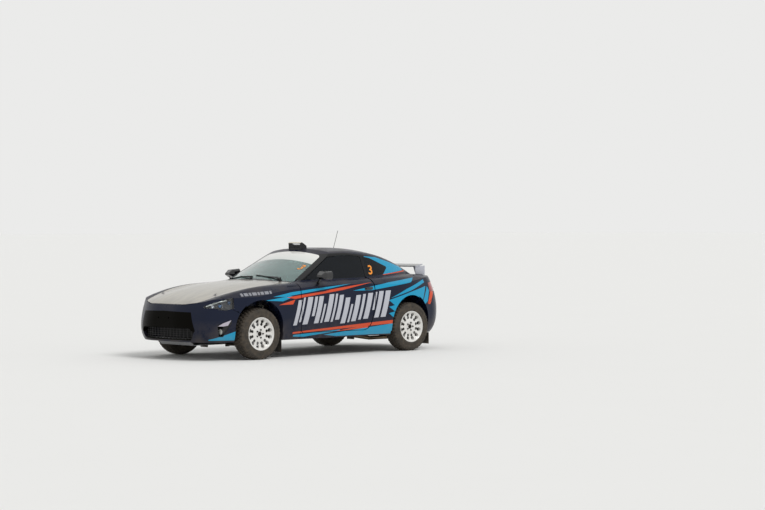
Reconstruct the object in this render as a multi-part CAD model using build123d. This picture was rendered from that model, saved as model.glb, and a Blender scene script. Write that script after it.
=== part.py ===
from build123d import *
from math import cos, radians, sin, tan
import os

# Two-door rally coupe, in millimetres.
# X runs from nose (-) to tail (+), Y to the right-hand side, Z up from the floor.

WHEELBASE = 2570
FRONT_AXLE = -1275
REAR_AXLE = FRONT_AXLE + WHEELBASE
TRACK = 1530
AXLE_Y = TRACK / 2
TYRE_R = 317
AXLE_Z = TYRE_R

ARCH_R = 352
ARCH_Z = 378
WELL_R = 366
WELL_Y = 470
LIP_Y = 850
LINER = 12
PANEL = 40
SKIN = 28
MOVING_GAP = 6
SEAM = 4
GLASS = 6

SILL_Z = 225
FLOOR_Z = 270
CABIN_Y = 655
CABIN_FRONT = -640
CABIN_REAR = 900

# Body sides, as level outlines: height, nose x and half-width, front corner x and y, wing, waist and
# haunch half-widths, rear corner x and y, tail x and half-width.
LEVELS = (
    (SILL_Z, -2052, 400, -1902, 690, 850, 808, 852, 1800, 720, 2000, 420),
    (340, -2105, 390, -1945, 715, 876, 840, 880, 1855, 757, 2090, 420),
    (520, -2116, 345, -1948, 708, 890, 860, 898, 1880, 768, 2120, 420),
    (700, -2064, 340, -1902, 702, 888, 856, 897, 1872, 758, 2085, 410),
    (870, -1960, 370, -1800, 700, 858, 830, 878, 1825, 728, 2030, 400),
    (1040, -1800, 340, -1640, 640, 790, 775, 828, 1750, 672, 1975, 380),
)
LEVEL_RADII = (850, 380, 1500, 8000, 8000, 2500, 380, 850)

# Upper surface of the lower body, as cross-sections: x, then half-width and height of the crown's edge,
# the valley beside it, the wing's crest and the shoulder.
DECKS = (
    (-2200, 300, 580, 520, 565, 640, 562, 780, 480),
    (-2020, 300, 708, 540, 688, 660, 688, 800, 600),
    (-1700, 300, 820, 570, 792, 700, 803, 835, 715),
    (-1275, 300, 904, 600, 872, 730, 888, 862, 800),
    (-900, 300, 946, 640, 912, 750, 911, 855, 835),
    (-500, 300, 970, 640, 950, 758, 926, 840, 865),
    (300, 300, 975, 640, 968, 768, 942, 842, 880),
    (1000, 300, 1002, 620, 990, 765, 964, 862, 888),
    (1500, 300, 1008, 590, 996, 740, 966, 868, 890),
    (2000, 300, 966, 560, 954, 700, 918, 835, 850),
    (2200, 300, 935, 540, 918, 680, 885, 815, 810),
)
DECK_RADII = (2500, 220, 130, 260)

# Roof and side glass, as cross-sections: x, then height at the centre line, half-width and height of the
# roof rail, and half-width at the foot of the glass.
ROOFS = (
    (-900, 1255, 600, 1212, 760),
    (-400, 1307, 598, 1262, 765),
    (0, 1338, 590, 1292, 768),
    (350, 1354, 578, 1307, 766),
    (800, 1328, 556, 1278, 752),
    (1150, 1252, 518, 1206, 722),
    (1450, 1144, 472, 1104, 680),
    (1750, 1006, 415, 974, 625),
    (2000, 880, 365, 854, 575),
)
ROOF_CROWN = 250
ROOF_FOOT = 800
ROOF_RADII = (2200, 120)
ROOF_THICK = 42

# Windscreen: a slice of a large cylinder that leans back along its slope.
SCREEN_FOOT = Vector(-742, 0, 948)
SCREEN_SLOPE = 26.5
SCREEN_R = 2400

MOST = 0.47  # the share of a run that one rounded corner may take up
MIDDLE = -30  # the right-hand half is drawn to this far past the middle, then trimmed


def rounded(points, radii):
    """A closed wire of straight runs joined by tangent arcs, one at each corner that has a radius."""
    corners = [Vector(*p) for p in points]
    count = len(corners)
    stretches = []
    for i, corner in enumerate(corners):
        back = corners[i - 1] - corner
        ahead = corners[(i + 1) % count] - corner
        if not radii[i]:
            stretches.append((corner, None, corner))
            continue
        half_turn = radians(180 - back.get_angle(ahead)) / 2
        run_back = back.length * (MOST if radii[i - 1] else 2 * MOST)
        run_ahead = ahead.length * (MOST if radii[(i + 1) % count] else 2 * MOST)
        run = min(radii[i] * tan(half_turn), run_back, run_ahead)
        radius = run / tan(half_turn)
        inward = (back.normalized() + ahead.normalized()).normalized()
        centre = corner + inward * (run**2 + radius**2) ** 0.5
        stretches.append(
            (
                corner + back.normalized() * run,
                centre - inward * radius,
                corner + ahead.normalized() * run,
            )
        )
    edges = []
    for i, (start, middle, end) in enumerate(stretches):
        if middle:
            edges.append(Edge.make_three_point_arc(start, middle, end))
        edges.append(Edge.make_line(end, stretches[(i + 1) % count][0]))
    return Wire(edges)


def evenly(radius, points):
    return [radius] * len(points)


def side_prism(outline, y_from, y_to, radii):
    """A side-view outline of (x, z) points, extruded across the car."""
    face = Face(rounded([(x, y_from, z) for x, z in outline], radii))
    return Solid.extrude(face, Vector(0, y_to - y_from, 0))


def front_prism(outline, x_from, x_to, radii):
    """A front-view outline of (y, z) points, extruded along the car."""
    face = Face(rounded([(x_from, y, z) for y, z in outline], radii))
    return Solid.extrude(face, Vector(x_to - x_from, 0, 0))


def plan_prism(outline, z_from, z_to, radii, taper=0):
    """A plan outline of (x, y) points, extruded up or down."""
    wire = rounded([(x, y, z_from) for x, y in outline], radii)
    if taper:
        return Solid.extrude_taper(Face(wire), Vector(0, 0, z_to - z_from), taper)
    return Solid.extrude(Face(wire), Vector(0, 0, z_to - z_from))


def both_sides(half):
    """A half outline of (x, y) points, closed by its mirror image."""
    return list(half) + [(x, -y) for x, y in reversed(half)]


def block(x, y, z):
    """A box from its lowest and highest x, y and z."""
    size = (x[1] - x[0], y[1] - y[0], z[1] - z[0])
    middle = (sum(x) / 2, sum(y) / 2, sum(z) / 2)
    return Pos(*middle) * Box(*size)


def across(radius, x, y, z):
    """A cylinder that lies across the car, from y[0] to y[1]."""
    return Pos(x, sum(y) / 2, z) * Rot(90, 0, 0) * Cylinder(radius, abs(y[1] - y[0]))


def rod(start, end, radius):
    """A round bar between two points."""
    start, end = Vector(*start), Vector(*end)
    return Solid.make_cylinder(
        radius, (end - start).length, Plane(origin=start, z_dir=end - start)
    )


def mirrored(shape):
    return shape.mirror(Plane.XZ)


def one(shape):
    """The largest solid of a cut or common shape."""
    return max(shape.solids(), key=lambda s: s.volume)


def level_outline(level, inset):
    z, nose, nose_y, fx, fy, wing, waist, haunch, rx, ry, tail, tail_y = level
    half = [
        (nose + inset, MIDDLE),
        (nose + inset, nose_y),
        (fx + inset, fy - inset * 0.6),
        (-1420, wing - inset),
        (-650, waist - inset),
        (400, waist - inset - 2),
        (1250, haunch - inset),
        (rx - inset, ry - inset * 0.6),
        (tail - inset, tail_y),
        (tail - inset, MIDDLE),
    ]
    return rounded([(x, y, z) for x, y in half], (0,) + LEVEL_RADII + (0,))


def side_envelope(inset=0):
    """The right-hand half of the space between the body's sides."""
    return Solid.make_loft([level_outline(level, inset) for level in LEVELS])


def deck_section(deck, drop):
    x, *numbers = deck
    half = list(zip(numbers[::2], numbers[1::2]))
    half = [(MIDDLE, half[0][1])] + half + [(1000, half[-1][1] - 260), (1000, -300), (MIDDLE, -300)]
    return rounded([(x, y, z - drop) for y, z in half], (0,) + DECK_RADII + (0, 0, 0))


def deck_envelope(drop=0):
    return Solid.make_loft([deck_section(deck, drop) for deck in DECKS])


def roof_section(roof, inset):
    x, top, rail, rail_z, foot = roof
    half = [
        (MIDDLE, top - inset),
        (ROOF_CROWN, top - inset),
        (rail - inset * 0.75, rail_z - inset),
        (foot - inset, ROOF_FOOT),
        (MIDDLE, ROOF_FOOT),
    ]
    return rounded([(x, y, z) for y, z in half], (0,) + ROOF_RADII + (0, 0))


def screen_plane(inset=0):
    """Lies on the windscreen at the foot of its centre line; x runs up the glass and y across the car."""
    slope = radians(SCREEN_SLOPE)
    plane = Plane(
        origin=SCREEN_FOOT,
        x_dir=(cos(slope), 0, sin(slope)),
        z_dir=(-sin(slope), 0, cos(slope)),
    )
    return plane.offset(-inset)


def behind_screen(inset=0):
    """Everything that lies behind the windscreen's surface."""
    plane = screen_plane(inset)
    half, deep, before, after = 950, 1700, 600, 2900
    drop = SCREEN_R - (SCREEN_R**2 - half**2) ** 0.5

    def at(y, z):
        return plane.from_local_coords(Vector(-before, y, z))

    outline = Wire(
        [
            Edge.make_three_point_arc(at(-half, -drop), at(0, 0), at(half, -drop)),
            Edge.make_line(at(half, -drop), at(half, -deep)),
            Edge.make_line(at(half, -deep), at(-half, -deep)),
            Edge.make_line(at(-half, -deep), at(-half, -drop)),
        ]
    )
    return Solid.extrude(Face(outline), plane.x_dir * (before + after))


def greenhouse(inset=0):
    cabin = Solid.make_loft([roof_section(roof, inset) for roof in ROOFS])
    return cabin & behind_screen(inset)


def grown(outline, by):
    """An outline of straight runs moved outward by a distance, or inward if it is negative."""
    points = [Vector(*p) for p in outline]
    area = sum(p.X * q.Y - q.X * p.Y for p, q in zip(points, points[1:] + points[:1]))
    by = by if area > 0 else -by
    moved = []
    for i, point in enumerate(points):
        before = (point - points[i - 1]).normalized()
        after = (points[(i + 1) % len(points)] - point).normalized()
        normals = Vector(before.Y, -before.X) + Vector(after.Y, -after.X)
        reach = by / (1 + before.dot(after))
        moved.append((point.X + normals.X * reach, point.Y + normals.Y * reach))
    return moved


# Shut lines. Side views are (x, z), front and rear views are (y, z), plans are (x, y).
DOOR = ((-606, 305), (-612, 700), (-600, 952), (640, 974), (652, 700), (560, 305))
DOOR_RADII = (50, 900, 6, 6, 900, 130)
DOOR_REAR_SLANT = 34
HINGE_X, HINGE_Y = -604, 864
WINDOW = ((-486, 940), (26, 1240), (350, 1262), (624, 1242), (624, 940))
WINDOW_RADII = (8, 120, 500, 30, 0)
QUARTER = ((668, 982), (668, 1238), (790, 1220), (1112, 1096), (985, 1004))
QUARTER_RADII = (12, 20, 300, 14, 30)
SCREEN = ((150, 640), (806, 522), (806, -522), (150, -640), (38, -330), (38, 330))
SCREEN_RADII = (40, 70, 70, 40, 700, 700)
REAR_SCREEN = ((985, 450), (1560, 392), (1560, -392), (985, -450))

# Bonnet: x, y and height of each corner of its half outline. Its edges lean forward by BONNET_LEAN per
# unit of height, so that the front edge swings clear of the nose.
BONNET = (
    (-2060, 320, 682),
    (-1968, 535, 690),
    (-1500, 655, 832),
    (-1000, 700, 918),
    (-650, 702, 939),
    (-772, 280, 957),
)
BONNET_RADII = (300, 160, 1500, 2500, 40, 900)
BONNET_LEAN = 0.26
BONNET_BASE = 640

DEPARTURE = ((1700, 100), (1700, 150), (2300, 330), (2300, 100))
BOOT_LID = ((1612, 478), (2300, 492))
BOOT_LID_FOOT = 775
NOSE_SIDE = (
    (-2300, 60), (-1400, 60), (-1400, 560), (-1563, 562), (-1730, 655), (-1800, 850), (-2300, 850),
)
TAIL_SIDE = ((2300, 60), (1400, 60), (1400, 560), (1583, 562), (1720, 650), (1880, 768), (2300, 768))
INNER_Y = 640
HEADLAMP = (
    (548, 642), (690, 640), (765, 612), (818, 645), (900, 720), (900, 795), (825, 802), (705, 716),
)
HEADLAMP_END = -1655
TAIL_LAMP = ((560, 780), (800, 762), (900, 790), (900, 855), (700, 892), (560, 868))
INTAKE = ((-440, 398), (440, 398), (508, 352), (468, 264), (-468, 264), (-508, 352))
NOSE_CURVE = ((-2062, 0), (-2062, 390), (-1888, 718))
BAR_SPACING = 26
LAMP_BAR_HOLE = (100, 518, 11)  # half their spacing, their height and their radius
FOG_POCKET_PLAN = ((-1857, 735), (-1795, 655), (-1782, 742), (-1694, 793), (-1740, 900), (-1960, 880))
FOG_POCKET_SIDE = ((-1860, 436), (-1838, 300), (-1795, 300), (-1690, 468), (-1700, 490))
FOG_POCKET_WALL = 6
FOG_LAMP = (-1793, 718, 356)
FOG_LAMP_R = 43

# Suspension. The front wheels steer about a line through the lower ball joint and the strut's top mount.
BALL_JOINT = Vector(-1283, 715, 205)
STRUT_TOP = Vector(-1241, 590, 800)
RAIL_Y = (398, 462)
RAIL_Z = (400, 500)
BOOT_FLOOR = 400
TUNNEL_Y = 108
TUNNEL_TOP = 400

# Seats, in side view, and the steering wheel before the right-hand one, on a column that slopes forward.
SEAT_Y = 362
SEAT_HALF = 215
SEAT_WALL = 45
SEAT_OUTER = (
    (-230, 290), (-240, 425), (110, 470), (190, 560), (350, 880),
    (385, 1110), (450, 1115), (455, 1000), (330, 520), (270, 290),
)
SEAT_INNER = (
    (-330, 385), (90, 372), (165, 420), (345, 960), (360, 1040), (300, 1200), (-330, 1200),
)
BELT_SLOT_Y = 48
SEAT_RAIL_Y = 175
STEERING_HUB = Vector(-225, SEAT_Y, 855)
COLUMN_TILT = 22
COLUMN_REACH = 153
GRIP_SIDES = 10

# Wheel: cross-section of the rim and its disc as (distance outboard of the centre plane, radius).
RIM_SECTION = (
    (-97, 203), (-89, 203), (-89, 190), (-40, 190), (-22, 177), (38, 177), (58, 190), (89, 190),
    (89, 203), (97, 203), (95, 194), (80, 178), (68, 160), (60, 112), (66, 74), (62, 28), (48, 28),
    (48, 78), (48, 112), (54, 160), (44, 169), (-18, 169), (-36, 182), (-97, 184),
)
TYRE_HALF = ((72, 317), (88, 309), (97, 290), (100, 262), (99, 235), (95, 214), (89, 204), (89, 190))
TYRE_SECTION = tuple((-h, r) for h, r in reversed(TYRE_HALF)) + TYRE_HALF
HUB_SECTION = (
    (-62, 0), (-62, 24), (-12, 24), (-12, 72), (-8, 72), (-8, 140), (14, 140), (14, 78),
    (36, 78), (36, 72), (48, 72), (48, 28), (66, 28), (70, 22), (70, 0),
)
RIM_HOLES = 12
RIM_HOLE = ((118, 20), (158, 25))
WHEEL_NUTS = 5
NUT_CIRCLE = 50
NUT_R = 11


def bonnet_region(gap=0):
    """Slanted forward at its front and sides, and upright at its rear edge."""
    base = BONNET_BASE - gap
    slanted = [(x + BONNET_LEAN * (z - base), y) for x, y, z in BONNET]
    slanted = slanted[:-2] + [(x + 300, y) for x, y in slanted[-2:]]
    points = [(x, y, base) for x, y in grown(both_sides(slanted), gap)]
    face = Face(rounded(points, BONNET_RADII + BONNET_RADII[::-1]))
    height = 460
    prism = Solid.extrude(face, Vector(-BONNET_LEAN * height, 0, height))
    rear_edge = [(x, y) for x, y, z in BONNET[-2:]]
    before_edge = grown(both_sides([(-2300, 900), (rear_edge[0][0], 900)] + rear_edge), gap)
    radii = (0, 0, 0, 900, 900, 0, 0, 0)
    return prism & plan_prism(before_edge, BONNET_BASE - 10, 1200, radii)


def door_region():
    """Its rear edge is slanted, so that the inner corner clears the pillar as the door swings."""
    outer = [(x, 900, z) for x, z in DOOR]
    inner = [(x - DOOR_REAR_SLANT if x > 0 else x, 640, z) for x, z in DOOR]
    return Solid.make_loft([rounded(outer, DOOR_RADII), rounded(inner, DOOR_RADII)], True)


def door_opening():
    doorway = side_prism(grown(DOOR, MOVING_GAP), 600, 950, DOOR_RADII)
    return doorway + side_prism(WINDOW, 400, 950, WINDOW_RADII)


def screen_region():
    plane = screen_plane()
    points = [plane.from_local_coords(Vector(v, y, -160)) for v, y in SCREEN]
    face = Face(rounded([tuple(p) for p in points], SCREEN_RADII))
    return Solid.extrude(face, plane.z_dir * 320)


def rear_screen_region():
    return plan_prism(REAR_SCREEN, 900, 1400, (60, 60, 60, 60))


def boot_lid_region(gap=0):
    outline = grown(both_sides(BOOT_LID), gap)
    return plan_prism(outline, BOOT_LID_FOOT - gap, 1200, (60, 0, 0, 60))


def nose_region(gap=0):
    """The front bumper's share, without the wells' inner walls."""
    outline = side_prism(grown(NOSE_SIDE, gap), -1000, 1000, evenly(0, NOSE_SIDE))
    return outline - block((-1900, -1300), (-INNER_Y, INNER_Y), (0, 640))


def tail_region(gap=0):
    """The rear bumper's share, without the wells' inner walls and the boot floor."""
    outline = side_prism(grown(TAIL_SIDE, gap), -1000, 1000, evenly(0, TAIL_SIDE))
    return outline - block((1300, 2030), (-INNER_Y, INNER_Y), (0, 640))


def arch_space(x, radius, y):
    """Round over the wheel and upright below the arch's centre."""
    return across(radius, x, y, ARCH_Z) + block((x - radius, x + radius), y, (100, ARCH_Z))


def wheel_wells():
    """The space inside both right-hand arches: deep behind a smaller lip."""
    wells = []
    for x in (FRONT_AXLE, REAR_AXLE):
        deep = arch_space(x, WELL_R, (WELL_Y, LIP_Y))
        wells.append(deep + arch_space(x, ARCH_R, (LIP_Y - 5, 1000)))
    return wells


def cabin_space():
    lower = block((CABIN_FRONT, CABIN_REAR), (MIDDLE, CABIN_Y), (FLOOR_Z, 955))
    behind_seats = block((CABIN_REAR - 5, 1150), (MIDDLE, 440), (500, 955))
    upper = greenhouse(ROOF_THICK) & block((-900, 2000), (MIDDLE, 700), (950, 1400))
    tunnel = block((CABIN_FRONT - 5, 1160), (-TUNNEL_Y, TUNNEL_Y), (200, TUNNEL_TOP))
    return (lower + behind_seats + upper) - tunnel


def right_half():
    return block((-2300, 2300), (0, 1100), (0, 1500))


def outer_form():
    """The right-hand half of the car's outer form, as a solid."""
    return ((side_envelope() & deck_envelope()) + greenhouse()) & right_half()


def body_walls(outer):
    """The right-hand half of every outer wall in one piece, before its shut lines are cut."""
    liners = [arch_space(x, WELL_R + LINER, (WELL_Y - LINER, 1000)) for x in (FRONT_AXLE, REAR_AXLE)]
    core = (side_envelope(PANEL) & deck_envelope(SKIN)) - liners
    bay = core & block((-2200, -700), (-1000, 1000), (100, 1100))
    boot = core & (
        block((1180, 1610), (-1000, 1000), (BOOT_FLOOR, 922))
        + block((1600, 2200), (-1000, 1000), (BOOT_FLOOR, 1100))
    )
    under_tail = core & block((CABIN_REAR + 30, 2200), (-1000, 1000), (100, BOOT_FLOOR - 15))
    under_floor = block((-710, CABIN_REAR + 40), (-INNER_Y, INNER_Y), (100, FLOOR_Z - 30))
    tunnel = block((-710, 1180), (16 - TUNNEL_Y, TUNNEL_Y - 16), (100, TUNNEL_TOP - 16))
    arms = block((-1455, -1105), (440, 490), (100, 310))
    arms = arms + block((1165, 1460), (440, 490), (100, BOOT_FLOOR - 15))
    departure = side_prism(DEPARTURE, -1000, 1000, evenly(0, DEPARTURE))
    hollows = [bay, boot, under_tail, under_floor, tunnel, arms, departure, cabin_space()]
    return outer - (hollows + wheel_wells())


def both(shape):
    return [shape, mirrored(shape)]


def pair(shape):
    """One node of two like pieces, left and right."""
    return Compound(both(shape))


def whole(half):
    """A piece that crosses the middle of the car, from its right-hand half."""
    return one(half + mirrored(half))


def front_structure():
    """The right-hand chassis rail and strut tower, and half the beams behind the front bumper."""
    rail = block((-1925, -690), RAIL_Y, RAIL_Z)
    tower = Pos(STRUT_TOP.X, STRUT_TOP.Y, 755) * Cylinder(86, 115)
    tower = tower - Pos(STRUT_TOP.X, STRUT_TOP.Y, 740) * Cylinder(74, 115)
    beam = block((-1960, -1920), (0, 530), (395, 505))
    upper_beam = block((-1940, -1905), (0, 500), (592, 630))
    post = block((-1940, -1920), (460, 500), (500, 630))
    return [rail, tower, beam, upper_beam, post]


def nose_strip(setback, thickness):
    """An upright strip that follows the nose in plan, behind its skin."""
    front = [(x + setback, y) for x, y in NOSE_CURVE]
    back = [(x + thickness, y) for x, y in front]
    outline = front + back[::-1]
    return plan_prism(outline, 150, 600, (0, 850, 0, 0, 850, 0))


def build_grille(intake):
    """The lattice in the front opening."""
    strip = nose_strip(6, 8)
    bars = [block((-2300, -1800), (-5, 700), (z, z + 5)) for z in range(272, 398, BAR_SPACING)]
    uprights = [block((-2300, -1800), (y - 3, y + 3), (150, 600)) for y in range(0, 620, 62)]
    lattice = (strip & bars[0]) + [strip & bar for bar in bars[1:] + uprights]
    return whole((lattice & intake) & right_half())


def fog_pocket(wall=0):
    """The triangular pocket beside the right-hand fog lamp."""
    plan = grown(FOG_POCKET_PLAN, wall)
    side = grown(FOG_POCKET_SIDE, wall)
    return plan_prism(plan, 250, 550, evenly(0, plan)) & side_prism(side, 600, 950, evenly(10, side))


def fog_drum():
    """The right-hand fog lamp, which faces forward in its pocket."""
    x, y, z = FOG_LAMP
    return Pos(x + 12, y, z) * Rot(0, 90, 0) * Cylinder(FOG_LAMP_R, 38)


def build_fog_lamps():
    """Both lamps, each in one piece with its pocket's walls."""
    walls = fog_pocket(FOG_POCKET_WALL) - fog_pocket()
    return pair(one((walls + fog_drum()) & side_envelope(3)))


def build_body(outer):
    """The body's panels and glass, cut from one set of walls."""
    walls = body_walls(outer)
    glass = greenhouse() - greenhouse(GLASS)
    bonnet_cut = bonnet_region(MOVING_GAP)
    lid_cut = boot_lid_region(MOVING_GAP)
    headlamp = front_prism(HEADLAMP, -2250, HEADLAMP_END, evenly(14, HEADLAMP))
    tail_lamp = front_prism(TAIL_LAMP, 1700, 2250, evenly(14, TAIL_LAMP))
    intake = front_prism(INTAKE, -2250, -1900, evenly(30, INTAKE))
    across_middle, hole_z, hole_r = LAMP_BAR_HOLE
    lamp_bar_hole = rod((-2250, across_middle, hole_z), (-2000, across_middle, hole_z), hole_r)
    fog_hole = fog_pocket(FOG_POCKET_WALL) + fog_drum()
    quarter = side_prism(QUARTER, 350, 950, QUARTER_RADII)

    parts = {}
    inner_rear = deck_envelope(SKIN) & block((-800, -500), (-100, 1000), (500, 1100))
    parts["bonnet"] = whole((walls & bonnet_region()) - inner_rear)
    parts["boot_lid"] = whole(walls & boot_lid_region())
    nose = (walls & nose_region()) - [bonnet_cut, headlamp, intake, fog_hole]
    parts["front_bumper"] = whole(nose - lamp_bar_hole)
    parts["rear_bumper"] = whole((walls & tail_region()) - [lid_cut, tail_lamp])
    parts["headlamps"] = pair(one(walls & headlamp))
    parts["tail_lamps"] = pair(one(walls & tail_lamp))

    def wing_region(gap):
        front = block((-2200, -1560 + gap), (470 - gap, 1000), (600 - gap, 1100))
        main_part = block((-1600, -800 + gap), (INNER_Y, 1000), (100, 1100))
        outer_tip = block((-810, -617 + gap), (800 - gap, 1000), (100, 920 + gap))
        upper_tip = block((-810, -617 + gap), (720 - gap, 1000), (890 - gap, 1100))
        return front + [main_part, outer_tip, upper_tip]

    wing = one(walls & (wing_region(0) - [nose_region(SEAM), bonnet_cut, headlamp]))
    parts["wing_right"], parts["wing_left"] = both(wing)
    door = one(walls & door_region())
    parts["door_right"], parts["door_left"] = both(door)
    window = side_prism(grown(WINDOW, -MOVING_GAP), 400, 950, WINDOW_RADII)
    pane = one((glass & window) - door_region())
    parts["door_glass_right"], parts["door_glass_left"] = both(pane)
    parts["quarter_glass"] = pair(one(glass & quarter))
    half_glass = glass & right_half()
    parts["windscreen"] = whole(half_glass & screen_region())
    parts["rear_screen"] = whole(half_glass & rear_screen_region())

    shell = walls - [bonnet_cut, lid_cut, nose_region(), tail_region(SEAM), wing_region(SEAM)]
    shell = one(shell) + front_structure()
    shell = one(shell) - [headlamp, tail_lamp, door_opening()]
    shell = one(shell - [screen_region(), rear_screen_region(), quarter])
    parts["body_shell"] = whole(shell)

    parts["grille"] = build_grille(intake)
    parts["fog_lamps"] = build_fog_lamps()
    return parts


def wheel_frame(x, side):
    """Places a shape that is drawn about +Z, its outboard end up, on a wheel's axis."""
    return Pos(x, side * AXLE_Y, AXLE_Z) * Rot(-90 * side, 0, 0)


def turned(section, radii):
    """A section of (distance along, radius) points, turned about Z."""
    points = [(r, 0, h) for h, r in section]
    return Solid.revolve(Face(rounded(points, radii)), 360, Axis.Z)


def build_wheels():
    tyre = turned(TYRE_SECTION, evenly(0, TYRE_SECTION))
    rim = turned(RIM_SECTION, evenly(0, RIM_SECTION))
    hub = turned(HUB_SECTION, evenly(0, HUB_SECTION))
    (near, near_r), (far, far_r) = RIM_HOLE
    hole = Pos(0, 0, 55) * (
        Pos(near, 0, 0) * Cylinder(near_r, 80)
        + Pos(far, 0, 0) * Cylinder(far_r, 80)
    )
    cuts = [Rot(0, 0, 360 / RIM_HOLES * (i + 0.5)) * hole for i in range(RIM_HOLES)]
    nut = Pos(NUT_CIRCLE, 0, 67) * Cylinder(NUT_R, 12)
    cuts += [Rot(0, 0, 360 / WHEEL_NUTS * i) * nut for i in range(WHEEL_NUTS)]
    rim = one((rim - cuts) + hub)
    parts = {}
    for axle, x in (("front", FRONT_AXLE), ("rear", REAR_AXLE)):
        for name, side in (("left", -1), ("right", 1)):
            place = wheel_frame(x, side)
            parts[f"tyre_{axle}_{name}"] = place * tyre
            parts[f"rim_{axle}_{name}"] = place * rim
    return parts


def caliper(x, start, sweep):
    """A brake caliper that straddles the disc, on the right-hand side of the car."""
    ring = across(156, x, (740, 797), AXLE_Z) - across(96, x, (700, 850), AXLE_Z)
    slot = across(147, x, (751, 785), AXLE_Z)
    angles = (radians(start), radians(start + sweep))
    reach = 260
    wedge = [(x, AXLE_Z)] + [(x + reach * cos(a), AXLE_Z + reach * sin(a)) for a in angles]
    return (ring - slot) & side_prism(wedge, 700, 850, (0, 0, 0))


def carrier(x):
    """The ring that carries a wheel's bearing."""
    return across(52, x, (702, 748), AXLE_Z)


def build_knuckle():
    """The right-hand upright with its hub carrier, caliper, steering arm and spring strut."""
    plate = ((-1310, 232), (-1256, 232), (-1228, 300), (-1242, 440), (-1308, 440), (-1322, 300))
    body = side_prism(plate, 704, 734, evenly(12, plate)) + carrier(FRONT_AXLE)
    body = body + Pos(BALL_JOINT.X, BALL_JOINT.Y, 216) * Cylinder(24, 48)
    body = body + block((-1306, -1244), (590, 732), (414, 456))
    body = body + rod((-1290, 718, 262), (-1148, 690, 262), 15)
    body = body + Pos(-1146, 689, 262) * Cylinder(20, 34)
    lugs = block((-1240, -1150), (712, 742), (330, 400))
    body = body + lugs + caliper(FRONT_AXLE, 5, 62)
    low, top = Vector(-1268, 612, 430), STRUT_TOP - Vector(0, 0, 6)
    along = top - low
    spring_from, spring_to = low + along * 0.36, low + along * 0.9
    body = body + rod(tuple(low), tuple(low + along * 0.5), 26)
    body = body + rod(tuple(low), tuple(top), 12)
    turns = 7
    pitch = (spring_to - spring_from).length / turns
    coil = []
    for i in range(turns):
        coil += [(pitch * (i + share), r) for share, r in ((0.15, 45), (0.4, 54), (0.6, 54), (0.85, 45))]
    section = [(0, 0), (0, 45)] + coil + [(pitch * turns, 45), (pitch * turns, 0)]
    frame = Plane(origin=spring_from, z_dir=along)
    body = body + frame.location * turned(section, evenly(0, section))
    bore = across(25.5, FRONT_AXLE, (690, 753), AXLE_Z)
    return one(body - bore)


def lower_arm():
    """The right-hand front wishbone."""
    half = ((-1283, 739), (-1262, 728), (-1246, 600), (-1130, 380), (-1150, 350))
    far = ((-1416, 350), (-1436, 380), (-1320, 600), (-1304, 728))
    arm = plan_prism(half + far, 160, 184, evenly(14, half + far))
    window = ((-1283, 560), (-1205, 415), (-1361, 415))
    return arm - plan_prism(window, 150, 200, evenly(14, window))


def build_front_suspension():
    body = block((-1345, -1215), (-365, 365), (183, 262))
    body = body + [block((-1320, -1240), (s * 210 - 30, s * 210 + 30), (262, 300)) for s in (-1, 1)]
    for side in (-1, 1):
        y = (350, 462) if side > 0 else (-462, -350)
        body = body + block((-1325, -1235), y, (215, RAIL_Z[0]))
        y = (340, 372) if side > 0 else (-372, -340)
        for x in (-1400, -1166):
            body = body + block((x - 22, x + 22), y, (150, 215))
        body = body + block((-1422, -1144), (y[0], y[1]), (195, 215))
    body = body + both(lower_arm())
    rack = rod((-1190, -340, 262), (-1190, 340, 262), 22)
    clamps = [block((-1225, -1185), (y - 20, y + 20), (225, 262)) for y in (-250, 250)]
    return one(body + rack + clamps)


def build_rear_suspension():
    body = block((1185, 1235), (-400, 400), (240, 290)) + block((1395, 1440), (-400, 400), (240, 290))
    body = body + block((1215, 1410), (-125, 125), (205, 345)) + rod((1185, 0, 306), (1216, 0, 306), 40)
    half = []
    for x in (1185, 1398):
        half.append(block((x, x + 42), (350, 400), (184, BOOT_FLOOR - 15)))
    half.append(block((1185, 1440), (350, 400), (240, 290)))
    upright = ((1262, 180), (1330, 180), (1350, 300), (1335, 430), (1255, 430), (1240, 300))
    bore = across(25.5, REAR_AXLE, (690, 753), AXLE_Z)
    half.append(side_prism(upright, 704, 734, evenly(12, upright)) - bore)
    half.append(carrier(REAR_AXLE) - bore)
    arm = ((1190, 380), (1435, 380), (1325, 720), (1265, 720))
    half.append(plan_prism(arm, 184, 206, evenly(12, arm)))
    half.append(rod((1295, 110, 300), (1295, 696, 316), 15))
    half.append(rod((1300, 385, 345), (1300, 715, 400), 12))
    half.append(block((1280, 1320), (350, 400), (240, 362)))
    half.append(caliper(REAR_AXLE, 115, 55))
    half.append(block((1205, 1262), (712, 742), (360, 420)))
    low, top = Vector(1330, 610, 200), Vector(1345, 560, 705)
    half.append(rod(tuple(low), tuple(low + (top - low) * 0.5), 27))
    half.append(rod(tuple(low), tuple(top), 12))
    half.append(rod(tuple(low + (top - low) * 0.35), tuple(low + (top - low) * 0.93), 44))
    return one(body + [piece for shape in half for piece in both(shape)])


def build_driveline():
    """Gearbox and propeller shaft, which run in the tunnel to the final drive."""
    box = rod((-1010, 0, 306), (-640, 0, 306), 76) + rod((-700, 0, 306), (-420, 0, 306), 60)
    return box + rod((-430, 0, 306), (1185, 0, 306), 30)


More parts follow.
